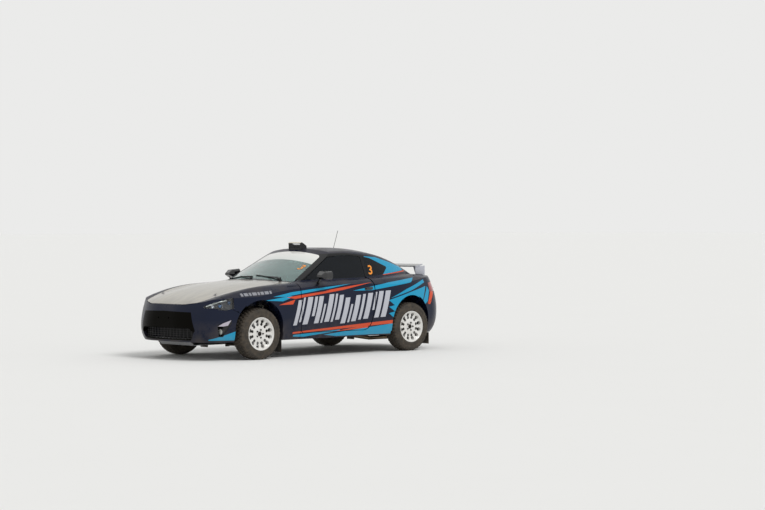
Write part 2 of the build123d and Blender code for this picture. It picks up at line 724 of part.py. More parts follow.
def build_exhaust():
    """From the engine's left side, along the tunnel, to a silencer and one tailpipe on the left."""
    run = (
        (-1100, -250, 360),
        (-1100, -305, 360),
        (-1040, -305, 215),
        (-760, -60, 195),
        (900, -60, 195),
        (1120, -230, 152),
        (1500, -230, 152),
        (1680, -230, 255),
    )
    pipe = bar(run, 26)
    silencer = rod((1660, -230, 275), (1900, -230, 275), 80)
    tail = rod((1890, -230, 185), (2098, -230, 185), 34) - rod((1930, -230, 185), (2110, -230, 185), 30)
    hanger = block((1700, 1712), (-240, -220), (340, BOOT_FLOOR - 15))
    return one(pipe + silencer + tail + hanger)


def bar(points, radius=20):
    """A bent tube as straight runs joined by balls."""
    shape = rod(points[0], points[1], radius)
    for start, end in zip(points[1:], points[2:]):
        shape = shape + rod(start, end, radius) + Pos(*start) * Sphere(radius)
    return shape


def build_roll_cage():
    hoop_x, hoop_y, hoop_z = 540, 470, 1200
    hoop = [
        (hoop_x, -604, FLOOR_Z),
        (hoop_x, -612, 860),
        (hoop_x, -hoop_y, hoop_z),
        (hoop_x, hoop_y, hoop_z),
        (hoop_x, 612, 860),
        (hoop_x, 604, FLOOR_Z),
    ]
    cage = bar(hoop)
    header = (40, 485, 1178)
    for side in (-1, 1):
        leg = [(-560, 604, FLOOR_Z), (-560, 612, 800), (-430, 590, 945), header, (hoop_x, hoop_y, hoop_z)]
        stay = [(hoop_x, hoop_y - 20, hoop_z - 10), (1120, 395, 501)]
        low_bar = [(-560, 606, 620), (hoop_x, 606, 330)]
        high_bar = [(-560, 606, 330), (hoop_x, 606, 620)]
        for run in (leg, stay, low_bar, high_bar):
            cage = cage + bar([(x, side * y, z) for x, y, z in run])
        for x in (-560, hoop_x):
            foot = (side * 560, side * 648)
            cage = cage + block((x - 50, x + 50), (min(foot), max(foot)), (FLOOR_Z, FLOOR_Z + 5))
        foot = (side * 350, side * 438)
        cage = cage + block((1080, 1149), (min(foot), max(foot)), (500, 505))
    cage = cage + bar([(40, -485, 1178), (40, 485, 1178)])
    cage = cage + bar([(hoop_x, -606, 620), (hoop_x, 606, 620)])
    cage = cage + bar([(hoop_x, -600, 300), (hoop_x, 455, 1195)], 18)
    below_floor = block((-700, 1200), (-700, 700), (150, FLOOR_Z))
    below_shelf = block((1000, 1200), (-700, 700), (400, 500))
    return one(cage - below_floor - below_shelf)


def build_seats():
    """Two bucket seats on their rails."""
    seats = []
    for y in (-SEAT_Y, SEAT_Y):
        well_half = SEAT_HALF - SEAT_WALL
        shell = side_prism(SEAT_OUTER, y - SEAT_HALF, y + SEAT_HALF, evenly(40, SEAT_OUTER))
        shell = shell - side_prism(SEAT_INNER, y - well_half, y + well_half, evenly(50, SEAT_INNER))
        for side in (-1, 1):
            slot_y = y + side * BELT_SLOT_Y
            shell = shell - block((250, 500), (slot_y - 22, slot_y + 22), (880, 930))
            rail_y = y + side * SEAT_RAIL_Y
            shell = shell + block((-180, 240), (rail_y - 15, rail_y + 15), (FLOOR_Z, 300))
        seats.append(one(shell))
    return Compound(seats)


def build_dashboard():
    outline = ((-640, 560), (-640, 880), (-560, 918), (-440, 905), (-392, 840), (-420, 640), (-500, 560))
    dash = side_prism(outline, -572, 572, (0, 0, 60, 50, 40, 60, 40))
    hood = ((-560, 900), (-500, 945), (-400, 940), (-385, 860), (-460, 850))
    pod = side_prism(hood, 225, 465, evenly(20, hood))
    tunnel_cover = ((-600, 400), (-600, 640), (-400, 640), (-330, 520), (80, 500), (80, 400))
    console = side_prism(tunnel_cover, -95, 95, (0, 0, 30, 60, 20, 0))
    lever = rod((-120, 40, 500), (-170, 60, 720), 8) + Pos(-170, 60, 725) * Sphere(24)
    brake = rod((-40, 50, 500), (-130, 70, 760), 10)
    down = Vector(-cos(radians(COLUMN_TILT)), 0, -sin(radians(COLUMN_TILT)))
    shroud = rod(tuple(STEERING_HUB + down * (COLUMN_REACH + 2)), tuple(STEERING_HUB + down * 290), 36)
    return one(dash + pod + console + lever + brake + shroud)


def build_steering_wheel():
    """Drawn about +Z, which then points down the column, away from the driver."""
    corners = [radians(360 / GRIP_SIDES * (i + 0.5)) for i in range(GRIP_SIDES)]
    grip = [(14 * sin(a), 165 + 14 * cos(a)) for a in corners]
    shape = turned(grip, evenly(0, grip)) + Pos(0, 0, 37) * Cylinder(40, 24)
    shape = shape + rod((0, 0, 43), (0, 0, COLUMN_REACH), 22)
    for angle in (90, 210, 330):
        spoke = rod((18, 0, 38), (164, 0, 0), 9)
        shape = shape + Rot(0, 0, angle) * spoke
    return Pos(*STEERING_HUB) * Rot(0, -90 - COLUMN_TILT, 0) * one(shape)


def mirror_on_door():
    """The right-hand door mirror, drawn as three rounded sections from its face to its nose."""
    sections = []
    for x, grow, lift in ((-215, 0, 0), (-310, -6, -2), (-368, -42, -8)):
        outline = grown(((812, 962), (1000, 958), (994, 1066), (828, 1080)), grow)
        sections.append(rounded([(x, y, z + lift) for y, z in outline], evenly(40, outline)))
    return Solid.make_loft(sections, True)


def build_aerial():
    return rod((690, 0, 1324), (775, 0, 1574), 3) + Pos(690, 0, 1336) * Cylinder(14, 24)


def build_mud_flaps():
    flaps = []
    for x in (-905, 1668):
        for side in (-1, 1):
            y = (side * 655, side * 800)
            flaps.append(block((x, x + 6), (min(y), max(y)), (75, SILL_Z)))
    return Compound(flaps)


def build_trim(outer):
    """Pieces that sit on the outer surface of the body."""
    parts = {}
    wedge = ((18, 1300), (14, 1418), (38, 1428), (118, 1382), (132, 1300))
    scoop = side_prism(wedge, -118, 118, (0, 10, 16, 16, 0))
    scoop = scoop - block((0, 100), (-104, 104), (1352, 1410))
    parts["roof_vent"] = one(scoop - outer)
    section = ((1752, 1092), (1790, 1104), (1900, 1124), (1908, 1112), (1800, 1082))
    blade = side_prism(section, -452, 452, (6, 12, 4, 4, 12))
    leg = ((1790, 1092), (1880, 1108), (1992, 900), (1868, 900))
    legs = [side_prism(leg, y - 14, y + 14, evenly(0, leg)) for y in (-400, 400)]
    parts["rear_spoiler"] = one(blade + legs - outer)
    return parts


def main():
    os.makedirs("parts", exist_ok=True)
    half_outer = outer_form()
    outer = whole(half_outer)
    parts = build_body(half_outer)
    parts.update(build_wheels())
    parts.update(build_trim(outer))
    mirror = one(mirror_on_door() + rod((-284, 735, 852), (-284, 870, 1010), 18) - outer)
    parts["mirror_right"] = mirror
    parts["mirror_left"] = mirrored(mirror)
    parts["aerial"] = one(build_aerial() - outer)
    knuckle = build_knuckle()
    parts["knuckle_right"] = knuckle
    parts["knuckle_left"] = mirrored(knuckle)
    parts["front_suspension"] = build_front_suspension()
    parts["rear_suspension"] = build_rear_suspension()
    parts["engine_block"] = block((-1560, -1010), (-250, 250), (300, 660))
    guard = ((-1990, 262), (-1900, 175), (-1000, 175), (-1000, 183), (-1896, 183), (-1982, 268))
    parts["sump_guard"] = side_prism(guard, -320, 320, evenly(0, guard))
    parts["radiator"] = block((-1915, -1870), (-340, 340), (260, 590))
    parts["driveline"] = one(build_driveline())
    parts["exhaust"] = build_exhaust()
    parts["roll_cage"] = build_roll_cage()
    parts["seats"] = build_seats()
    parts["dashboard"] = build_dashboard()
    parts["steering_wheel"] = build_steering_wheel()
    parts["mud_flaps"] = build_mud_flaps()
    for name, part in parts.items():
        export_step(part, f"parts/{name}.step")


if __name__ == "__main__":
    main()
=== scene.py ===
from math import cos, radians, sin, sqrt, tau

import bmesh
import bpy
from mathutils import Matrix, Vector
from mathutils.bvhtree import BVHTree


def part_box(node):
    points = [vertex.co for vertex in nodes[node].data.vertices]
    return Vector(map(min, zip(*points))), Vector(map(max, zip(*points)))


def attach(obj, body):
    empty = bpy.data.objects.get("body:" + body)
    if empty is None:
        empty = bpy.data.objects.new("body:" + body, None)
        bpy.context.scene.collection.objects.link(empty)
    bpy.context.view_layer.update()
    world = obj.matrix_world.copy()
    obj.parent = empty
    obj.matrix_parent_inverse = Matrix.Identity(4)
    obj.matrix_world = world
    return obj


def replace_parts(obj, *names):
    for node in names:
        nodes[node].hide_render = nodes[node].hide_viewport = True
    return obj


# Metres throughout. X runs from nose (-) to tail (+), Y to the car's right-hand side, Z up from the floor.

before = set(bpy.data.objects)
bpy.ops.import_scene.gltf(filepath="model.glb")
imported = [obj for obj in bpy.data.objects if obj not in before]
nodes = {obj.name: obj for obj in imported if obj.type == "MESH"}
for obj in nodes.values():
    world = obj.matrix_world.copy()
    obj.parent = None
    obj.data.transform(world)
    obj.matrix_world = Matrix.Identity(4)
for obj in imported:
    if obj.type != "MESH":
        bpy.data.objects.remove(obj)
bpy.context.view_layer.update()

SIDES = {"left": -1, "right": 1}
AXLES = ("front", "rear")


# Colours are written as they show on a screen, from 0 to 255.
def screen_colour(red, green, blue):
    def linear(value):
        value = value / 255
        return value / 12.92 if value < 0.04045 else ((value + 0.055) / 1.055) ** 2.4

    return (linear(red), linear(green), linear(blue), 1)


NAVY = screen_colour(15, 23, 44)
CYAN = screen_colour(24, 146, 186)
ORANGE_RED = screen_colour(204, 76, 44)
SILVER = screen_colour(182, 184, 192)
NUMBER_ORANGE = screen_colour(245, 150, 38)
GLOSS_BLACK = screen_colour(12, 13, 16)
# The nose's black: partly a black surround and partly painted shade.
NOSE_BLACK_AND_PAINTED_SHADE = screen_colour(13, 12, 9)
DUST = screen_colour(158, 141, 118)
PALE = screen_colour(236, 235, 231)
CREAM = screen_colour(222, 216, 196)


class Finish:
    """A material under construction: one Principled shader, and short calls that add nodes before it."""

    def __init__(self, name, colour, roughness, **constants):
        self.material = bpy.data.materials.new(name)
        self.material.use_nodes = True
        self.tree = self.material.node_tree
        self.shader = self.tree.nodes["Principled BSDF"]
        self.shader.inputs["Base Color"].default_value = colour
        self.shader.inputs["Roughness"].default_value = roughness
        for socket, value in constants.items():
            self.shader.inputs[socket.replace("_", " ")].default_value = value
        coordinates = self.add("ShaderNodeTexCoord")
        self.place = coordinates.outputs["Object"]
        self.facing = coordinates.outputs["Normal"]
        self.uv = coordinates.outputs["UV"]

    def add(self, kind, **settings):
        node = self.tree.nodes.new(kind)
        for name, value in settings.items():
            setattr(node, name, value)
        return node

    def feed(self, socket, value):
        if isinstance(value, bpy.types.NodeSocket):
            self.tree.links.new(value, socket)
        else:
            socket.default_value = value

    def math(self, operation, first, second=0.0, third=None):
        node = self.add("ShaderNodeMath", operation=operation)
        self.feed(node.inputs[0], first)
        self.feed(node.inputs[1], second)
        if third is not None:
            self.feed(node.inputs[2], third)
        return node.outputs[0]

    def dot(self, vector, direction):
        node = self.add("ShaderNodeVectorMath", operation="DOT_PRODUCT")
        self.feed(node.inputs[0], vector)
        self.feed(node.inputs[1], direction)
        return node.outputs["Value"]

    def axis(self, letter, vector=None):
        node = self.add("ShaderNodeSeparateXYZ")
        self.feed(node.inputs[0], vector or self.place)
        return node.outputs[letter]

    def noise(self, scale, detail=4.0, roughness=0.55, stretch=(1, 1, 1)):
        mapping = self.add("ShaderNodeMapping")
        self.feed(mapping.inputs["Vector"], self.place)
        mapping.inputs["Scale"].default_value = stretch
        node = self.add("ShaderNodeTexNoise")
        self.feed(node.inputs["Vector"], mapping.outputs[0])
        node.inputs["Scale"].default_value = scale
        node.inputs["Detail"].default_value = detail
        node.inputs["Roughness"].default_value = roughness
        return node.outputs["Fac"]

    def span(self, value, low, high, to_low=0.0, to_high=1.0):
        """Rescales a value from one range to another, and holds it there."""
        node = self.add("ShaderNodeMapRange")
        for name, number in (("From Min", low), ("From Max", high), ("To Min", to_low), ("To Max", to_high)):
            node.inputs[name].default_value = number
        self.feed(node.inputs["Value"], value)
        return node.outputs[0]

    def mix(self, factor, first, second):
        node = self.add("ShaderNodeMix", data_type="RGBA")
        self.feed(node.inputs["Factor"], factor)
        self.feed(node.inputs[6], first)
        self.feed(node.inputs[7], second)
        return node.outputs[2]

    def both(self, first, second):
        return self.math("MULTIPLY", first, second)

    def either(self, first, second):
        return self.math("MAXIMUM", first, second)

    def colour(self, value):
        self.feed(self.shader.inputs["Base Color"], value)
        return self

    def roughness(self, value):
        self.feed(self.shader.inputs["Roughness"], value)
        return self

    def bump(self, height, distance, strength=1.0):
        node = self.add("ShaderNodeBump")
        node.inputs["Distance"].default_value = distance
        node.inputs["Strength"].default_value = strength
        self.feed(node.inputs["Height"], height)
        self.feed(self.shader.inputs["Normal"], node.outputs[0])
        return self

    def settled_dust(self, low, high, most, roughness, base, clean=0.0):
        """Dust that is thickest low down and on faces that look up, and is left off where clean is 1."""
        height = self.span(self.axis("Z"), low, high, 1, 0)
        upward = self.span(self.axis("Z", self.facing), 0.2, 1, 0, 0.6)
        patches = self.span(self.noise(5, 6, 0.65), 0.35, 0.7)
        amount = self.both(self.both(self.either(height, upward), patches), most)
        amount = self.both(amount, self.math("SUBTRACT", 1.0, clean))
        self.colour(self.mix(amount, base, DUST))
        self.roughness(self.span(amount, 0, most, roughness, min(1, roughness + 0.45)))
        return amount


# Livery. Every outline is convex, seen from the side, as (x, z) points.
CYAN_SHAPES = (
    ((-1.09, 0.764), (-0.76, 0.757), (-0.10, 0.850), (0.53, 0.922), (-0.10, 0.872), (-0.76, 0.816)),
    ((-1.22, 0.722), (-0.93, 0.706), (-0.74, 0.758), (-0.80, 0.768)),
    ((-0.735, 0.262), (-0.55, 0.253), (0.05, 0.308), (0.05, 0.323), (-0.735, 0.281)),
    ((-0.22, 0.266), (0.00, 0.240), (0.98, 0.240), (0.98, 0.374)),
    ((0.27, 0.809), (0.58, 0.807), (0.90, 0.846), (1.29, 0.894), (1.41, 0.957), (0.90, 0.903)),
    ((0.90, 0.697), (1.29, 0.790), (1.61, 0.890), (1.59, 0.928), (1.20, 0.812)),
    ((0.87, 0.673), (0.97, 0.605), (1.50, 0.600), (1.62, 0.840), (1.29, 0.774)),
    ((0.87, 0.588), (0.97, 0.528), (1.10, 0.500), (1.10, 0.630)),
    ((0.87, 0.505), (0.94, 0.455), (1.10, 0.420), (1.10, 0.550)),
    ((1.535, 0.640), (1.575, 0.600), (1.640, 0.640), (1.690, 0.780), (1.655, 0.840)),
    ((-1.93, 0.262), (-1.93, 0.250), (-1.54, 0.250), (-1.54, 0.392)),
    ((0.66, 1.244), (0.66, 1.234), (1.10, 1.040), (1.46, 1.060), (1.45, 1.092), (1.15, 1.172), (0.92, 1.228)),
    ((0.98, 1.003), (1.47, 1.048), (1.46, 1.075), (1.05, 1.060)),
)
RED_SHAPES = (
    ((-0.86, 0.752), (-0.72, 0.730), (0.12, 0.826), (0.04, 0.838)),
    ((-0.20, 0.822), (0.08, 0.820), (0.62, 0.911), (0.02, 0.848)),
    ((-1.00, 0.662), (-0.76, 0.664), (-0.72, 0.722)),
    ((-0.75, 0.297), (0.94, 0.371), (0.94, 0.416), (-0.75, 0.317)),
    ((-0.09, 0.298), (0.53, 0.331), (0.53, 0.364)),
    ((0.98, 0.994), (1.53, 1.034), (1.50, 1.046), (0.98, 1.003)),
    ((1.640, 0.600), (1.700, 0.600), (1.800, 0.760), (1.745, 0.830)),
)
# Black round the side windows: black pillar trim and frame, and painted shade over the roof rail above the
# glass.
BLACK_TRIM_AND_SHADE_SHAPES = (((-0.575, 0.957), (0.700, 0.985), (0.700, 1.258), (0.350, 1.294), (0.020, 1.280)),)
# The black field round the front opening, partly a black surround and partly painted shade on the nose, seen
# from the front, as (half-width, z) points, and how far back it reaches.
NOSE_BLACK_AND_SHADE_OUTLINE = ((-0.1, 0.247), (0.440, 0.247), (0.525, 0.370), (0.455, 0.592), (-0.1, 0.604))
NOSE_END = -1.9
# Stripes lie on faces that look outward at least this much, and this far out below and above the waist.
LEAST_OUTWARD = 0.12
WAIST = (0.96, 0.98)
INNER_LIMIT = (0.56, 0.40)
SMALL_BAR_SHARE = 0.55
PAINT_GLOSS = 0.16
PAINT_COAT = 0.10

# Blocks of slanted bars along the door: where each starts at its foot, its width, and its foot and head as
# shares of the band's height.
BAR_BAND_LEFT = (-0.77, 0.400, 0.335)
BAR_BAND_RIGHT = (0.905, 0.466, 0.333)
BAR_SLANT = 0.3
SIDE_BARS = (
    (-0.755, 0.060, 0.00, 0.92),
    (-0.670, 0.030, 0.10, 1.00),
    (-0.600, 0.085, 0.00, 1.00),
    (-0.480, 0.045, 0.28, 1.00),
    (-0.410, 0.075, 0.00, 1.00),
    (-0.305, 0.032, 0.00, 0.70),
    (-0.240, 0.080, 0.02, 1.04),
    (-0.130, 0.036, 0.00, 1.04),
    (-0.060, 0.070, 0.06, 0.98),
    (0.050, 0.080, -0.10, 0.86),
    (0.165, 0.034, -0.08, 0.60),
    (0.230, 0.078, -0.06, 0.92),
    (0.345, 0.046, -0.02, 0.94),
    (0.430, 0.082, -0.01, 0.96),
    (0.550, 0.034, 0.30, 0.98),
    (0.615, 0.076, 0.00, 1.00),
    (0.725, 0.086, 0.00, 1.00),
)
WING_BARS = (
    (-1.545, 0.030, 0.0, 1.0),
    (-1.500, 0.050, 0.0, 1.0),
    (-1.435, 0.030, 0.0, 1.0),
    (-1.390, 0.060, 0.0, 1.0),
    (-1.315, 0.030, 0.0, 1.0),
    (-1.270, 0.045, 0.0, 1.0),
    (-1.210, 0.060, 0.0, 1.0),
    (-1.135, 0.030, 0.0, 1.0),
)
WING_BAND_LEFT = (-1.56, 0.778, 0.034)
WING_BAND_RIGHT = (-1.08, 0.806, 0.034)


def inside(finish, flat, outline):
    """1 inside a convex outline of (x, z) points and 0 outside. flat holds (x, 1, z)."""
    middle_x = sum(x for x, z in outline) / len(outline)
    middle_z = sum(z for x, z in outline) / len(outline)
    nearest = None
    for i, (x, z) in enumerate(outline):
        next_x, next_z = outline[(i + 1) % len(outline)]
        across, up = z - next_z, next_x - x
        if across * (middle_x - x) + up * (middle_z - z) < 0:
            across, up = -across, -up
        depth = finish.dot(flat, (across, -(across * x + up * z), up))
        nearest = depth if nearest is None else finish.math("MINIMUM", nearest, depth)
    return finish.math("GREATER_THAN", nearest, 0.0)


def any_of(finish, flat, outlines):
    mask = None
    for outline in outlines:
        part = inside(finish, flat, outline)
        mask = part if mask is None else finish.either(mask, part)
    return mask


def slanted_bars(finish, flat, left, right, bars):
    """1 on slanted bars in a band between two ends, each given as x, foot height and band height."""
    rise = (right[1] - left[1]) / (right[0] - left[0])
    height = finish.dot(flat, (-rise / left[2], (rise * left[0] - left[1]) / left[2], 1 / left[2]))
    along = finish.dot(flat, (1 + BAR_SLANT * rise, BAR_SLANT * (left[1] - rise * left[0]), -BAR_SLANT))
    mask = None
    for start, width, foot, head in bars:
        across = finish.math("COMPARE", along, start + width / 2, width / 2)
        up = finish.math("COMPARE", height, (foot + head) / 2, (head - foot) / 2)
        part = finish.both(across, up)
        mask = part if mask is None else finish.either(mask, part)
    return mask


def flat_view(finish, across, up):
    combine = finish.add("ShaderNodeCombineXYZ")
    finish.feed(combine.inputs[0], across)
    combine.inputs[1].default_value = 1
    finish.feed(combine.inputs[2], up)
    return combine.outputs[0]


def painted_sides(finish, ground):
    """Stripes and bars over the ground colour, black fields that are partly black trim and partly painted
    shade, and a mask of the black fields, which stay free of dust.
    """
    x, y, z = (finish.axis(letter) for letter in "XYZ")
    flat = flat_view(finish, x, z)
    outward = finish.both(finish.math("SIGN", y), finish.axis("Y", finish.facing))
    reach = finish.math("ABSOLUTE", y)
    far_out = finish.math("GREATER_THAN", reach, finish.span(z, *WAIST, *INNER_LIMIT))
    side = finish.both(finish.math("GREATER_THAN", outward, LEAST_OUTWARD), far_out)
    colour = finish.mix(finish.both(side, any_of(finish, flat, CYAN_SHAPES)), ground, CYAN)
    colour = finish.mix(finish.both(side, any_of(finish, flat, RED_SHAPES)), colour, ORANGE_RED)
    bars = slanted_bars(finish, flat, BAR_BAND_LEFT, BAR_BAND_RIGHT, SIDE_BARS)
    colour = finish.mix(finish.both(side, bars), colour, SILVER)
    small = slanted_bars(finish, flat, WING_BAND_LEFT, WING_BAND_RIGHT, WING_BARS)
    colour = finish.mix(finish.both(finish.both(side, small), SMALL_BAR_SHARE), colour, SILVER)
    # Black trim round the side windows, and painted shade over the roof rail.
    black_trim_and_shade = finish.both(side, any_of(finish, flat, BLACK_TRIM_AND_SHADE_SHAPES))
    # The nose: partly a black surround and partly painted shade.
    panel = inside(finish, flat_view(finish, reach, z), NOSE_BLACK_AND_SHADE_OUTLINE)
    nose_black_and_shade = finish.both(finish.math("LESS_THAN", x, NOSE_END), panel)
    colour = finish.mix(nose_black_and_shade, finish.mix(black_trim_and_shade, colour, GLOSS_BLACK), NOSE_BLACK_AND_PAINTED_SHADE)
    # Gloss and coat are cut on the nose so that it shows no reflection, as painted shade.
    finish.feed(finish.shader.inputs["Specular IOR Level"], finish.span(nose_black_and_shade, 0, 1, PAINT_GLOSS, 0.02))
    finish.feed(finish.shader.inputs["Coat Weight"], finish.span(nose_black_and_shade, 0, 1, PAINT_COAT, 0.01))
    return colour, finish.either(black_trim_and_shade, nose_black_and_shade)


def paint(name, ground, striped=True):
    finish = Finish(
        name, ground, 0.26, Specular_IOR_Level=PAINT_GLOSS, Coat_Weight=PAINT_COAT, Coat_Roughness=0.05
    )
    flakes = finish.span(finish.noise(900, 2, 0.5), 0.35, 0.75, 0.9, 1.25)
    base, clean = finish.mix(flakes, screen_colour(8, 12, 24), ground), 0.0
    if striped:
        base, clean = painted_sides(finish, base)
    finish.settled_dust(0.22, 0.5, 0.20, 0.24, base, clean)
    grain = finish.noise(320, 3, 0.6)
    finish.bump(grain, 0.00012, 0.5)
    return finish.material


def bonnet_dust_and_painted_glare():
    """Dark paint under a pale film, thickest towards the nose and on faces that look up, that is partly dust
    and partly painted sky glare.
    """
    finish = Finish("bonnet_paint_dust_and_painted_glare", NAVY, 0.24, Coat_Weight=0.7, Coat_Roughness=0.12)
    forward = finish.span(finish.axis("X"), -0.9, -1.9, 0.66, 0.86)
    upward = finish.span(finish.axis("Z", finish.facing), 0.3, 0.95)
    streaks = finish.span(finish.noise(9, 6, 0.6, (0.5, 1.6, 1)), 0.3, 0.75, 0.62, 1)
    amount = finish.both(finish.both(forward, upward), streaks)
    # The pale tone mixed in here is partly dust and partly painted glare of the sky on the bonnet.
    finish.colour(finish.mix(amount, NAVY, screen_colour(192, 186, 171)))
    finish.roughness(finish.span(amount, 0, 0.8, 0.18, 0.42))
    finish.bump(finish.noise(300, 3), 0.00012, 0.5)
    return finish.material


def plain(name, colour, roughness, grain=300, depth=0.0004, tint=0.25, **constants):
    """A surface with fine grain and slight patches of a darker tint."""
    finish = Finish(name, colour, roughness, **constants)
    patches = finish.span(finish.noise(14, 5), 0.35, 0.7, 0, tint)
    darker = tuple(channel * 0.45 for channel in colour[:3]) + (1,)
    finish.colour(finish.mix(patches, colour, darker))
    finish.roughness(finish.span(patches, 0, tint, roughness, min(1, roughness + 0.12)))
    finish.bump(finish.noise(grain, 3), depth, 0.6)
    return finish


def dusty(name, colour, roughness, low, high, most, **constants):
    """A surface that carries settled dust between two heights."""
    finish = Finish(name, colour, roughness, **constants)
    finish.settled_dust(low, high, most, roughness, colour)
    finish.bump(finish.noise(220, 4), 0.0005, 0.5)
    return finish.material


def glass_finish(name, tint, film, amount, strip=None, gloss=1.0):
    """Tinted glass with a thin film of dust, and a bare band along the top of the windscreen."""
    finish = Finish(
        name, tint, 0.03, IOR=1.08, Transmission_Weight=0.9, Coat_Weight=gloss, Coat_Roughness=0.03
    )
    smears = finish.span(finish.noise(4, 5, 0.6, (1, 1, 2)), 0.3, 0.75, 0.5 * amount, amount)
    colour = finish.mix(smears, tint, film)
    clear = finish.span(smears, 0, 1, 0.95, 0.1)
    if strip:
        band, (along_x, along_z), start, end = strip
        height = finish.dot(finish.place, (along_x, 0, along_z))
        mask = finish.math("GREATER_THAN", height, start)
        fade = finish.span(height, start, end, 0.72, 1.0)
        colour = finish.mix(finish.both(mask, fade), colour, band)
        clear = finish.both(clear, finish.math("SUBTRACT", 1.0, finish.both(mask, 0.97)))
        reach = finish.math("ABSOLUTE", finish.axis("Y"))
        edge = finish.math("ADD", reach, finish.both(finish.math("SUBTRACT", height, start), BORDER_LEAN))
        beside = finish.math("GREATER_THAN", edge, BORDER_REACH)
        below = finish.math("LESS_THAN", height, start - BORDER_RUN)
        border = finish.both(finish.either(beside, below), finish.math("SUBTRACT", 1.0, mask))
        colour = finish.mix(border, colour, GLOSS_BLACK)
        clear = finish.both(clear, finish.math("SUBTRACT", 1.0, border))
    finish.colour(colour)
    finish.feed(finish.shader.inputs["Transmission Weight"], clear)
    finish.roughness(finish.span(smears, 0, 1, 0.03, 0.3))
    return finish.material


def metal(name, colour, roughness, scratches=60):
    finish = Finish(name, colour, roughness, Metallic=1.0)
    streaks = finish.span(finish.noise(scratches, 6, 0.7, (1, 6, 1)), 0.3, 0.75)
    grime = screen_colour(70, 62, 52)
    finish.colour(finish.mix(finish.both(streaks, 0.35), colour, grime))
    finish.roughness(finish.span(streaks, 0, 1, roughness, min(1, roughness + 0.25)))
    finish.bump(streaks, 0.0003, 0.4)
    return finish.material


def tyre_finish():
    """Rubber whose tread and lower sides are filled with pale dust."""
    finish = Finish("gravel_tyre_rubber", screen_colour(26, 25, 24), 0.8)
    patches = finish.span(finish.noise(16, 6, 0.7), 0.32, 0.72, 0.06, 0.5)
    fine = finish.span(finish.noise(260, 4, 0.7), 0.3, 0.8, 0.7, 1)
    amount = finish.both(patches, fine)
    finish.colour(finish.mix(amount, screen_colour(26, 25, 24), screen_colour(112, 98, 80)))
    finish.bump(finish.noise(420, 4), 0.0006, 0.6)
    return finish.material


def fabric_finish(name, colour):
    """Woven cloth: two sets of fine threads across each other."""
    finish = Finish(name, colour, 0.9, Sheen_Weight=0.3, Sheen_Roughness=0.5)
    warp = finish.math("SINE", finish.both(finish.axis("X"), 2600.0))
    weft = finish.math("SINE", finish.both(finish.axis("Y"), 2600.0))
    weave = finish.both(warp, weft)
    worn = finish.span(finish.noise(12, 5), 0.4, 0.75, 0, 0.35)
    finish.colour(finish.mix(worn, colour, screen_colour(78, 76, 74)))
    finish.bump(weave, 0.0004, 0.5)
    return finish.material


SCREEN_SLOPE = radians(26.5)
SCREEN_FOOT = Vector((-0.742, 0, 0.948))
SCREEN_ALONG = (cos(SCREEN_SLOPE), sin(SCREEN_SLOPE))
STRIP_START = 0.585
STRIP_END = 0.79
# The black border printed inside the windscreen: half-width of its inner edge at the strip, how that grows
# downwards, and how far below the strip its foot lies.
BORDER_REACH = 0.560
BORDER_LEAN = 0.27
BORDER_RUN = 0.535
foot_along = SCREEN_FOOT.x * SCREEN_ALONG[0] + SCREEN_FOOT.z * SCREEN_ALONG[1]

body_paint = paint("side_striped_paint", NAVY)
# The bonnet's pale film is partly dust and partly painted sky glare.
bonnet_dust_and_glare_paint = bonnet_dust_and_painted_glare()
screen_glass = glass_finish(
    "windscreen_glass", screen_colour(150, 182, 180), screen_colour(150, 172, 166), 0.45,
    (PALE, SCREEN_ALONG, foot_along + STRIP_START, foot_along + STRIP_END),
)
side_glass = glass_finish(
    "dark_side_glass", screen_colour(20, 27, 34), screen_colour(14, 19, 26), 0.9, gloss=0.35
)
rear_glass = glass_finish("rear_screen_glass", screen_colour(60, 72, 78), screen_colour(90, 96, 96), 0.4)
lamp_glass = Finish(
    "headlamp_cover", screen_colour(235, 240, 244), 0.02, IOR=1.04, Transmission_Weight=1.0, Coat_Weight=1.0
)
lamp_glass.bump(lamp_glass.noise(30, 2), 0.0002, 0.2)
tail_glass = Finish(
    "tail_lamp_cover", screen_colour(190, 16, 18), 0.08, IOR=1.2, Transmission_Weight=0.55, Coat_Weight=1.0
)
tail_glass.bump(tail_glass.math("SINE", tail_glass.both(tail_glass.axis("Z"), 700.0)), 0.0004, 0.3)
black_plastic = plain("grained_black_plastic", screen_colour(24, 24, 26), 0.55).material
gloss_black = plain("gloss_black_trim", GLOSS_BLACK, 0.15, Coat_Weight=0.6).material
wheel_white = dusty(
    "dusty_white_wheel_paint", screen_colour(222, 221, 218), 0.32, -0.2, 0.7, 0.42, Coat_Weight=0.3
)
rubber = tyre_finish()
steel = metal("machined_steel", screen_colour(150, 150, 152), 0.35)
iron = metal("dark_cast_iron", screen_colour(74, 70, 66), 0.6)
aluminium = metal("cast_aluminium", screen_colour(186, 187, 190), 0.4)
exhaust_steel = metal("heat_stained_steel", screen_colour(172, 150, 126), 0.32)
cage_paint = plain("cage_paint", screen_colour(206, 208, 210), 0.35, Coat_Weight=0.3).material
seat_cloth = fabric_finish("black_seat_cloth", screen_colour(30, 30, 33))
dash_plastic = plain("matt_dashboard_moulding", screen_colour(30, 30, 32), 0.75, 500).material
suede = fabric_finish("steering_wheel_suede", screen_colour(34, 33, 34))
flap_rubber = dusty("mud_flap_rubber", screen_colour(28, 28, 29), 0.6, 0.0, 0.3, 0.5)
spoiler_paint = paint("spoiler_silver_paint", SILVER, striped=False)
hose_rubber = plain("hose_and_belt_rubber", screen_colour(20, 20, 21), 0.5).material
crinkle_paint = plain("crinkle_red_paint", screen_colour(120, 22, 20), 0.6, 900, 0.0015).material
radiator_core = plain("radiator_core_paint", screen_colour(20, 20, 21), 0.7, 500, 0.001).material
chrome = metal("lamp_reflector_chrome", screen_colour(225, 228, 232), 0.06)
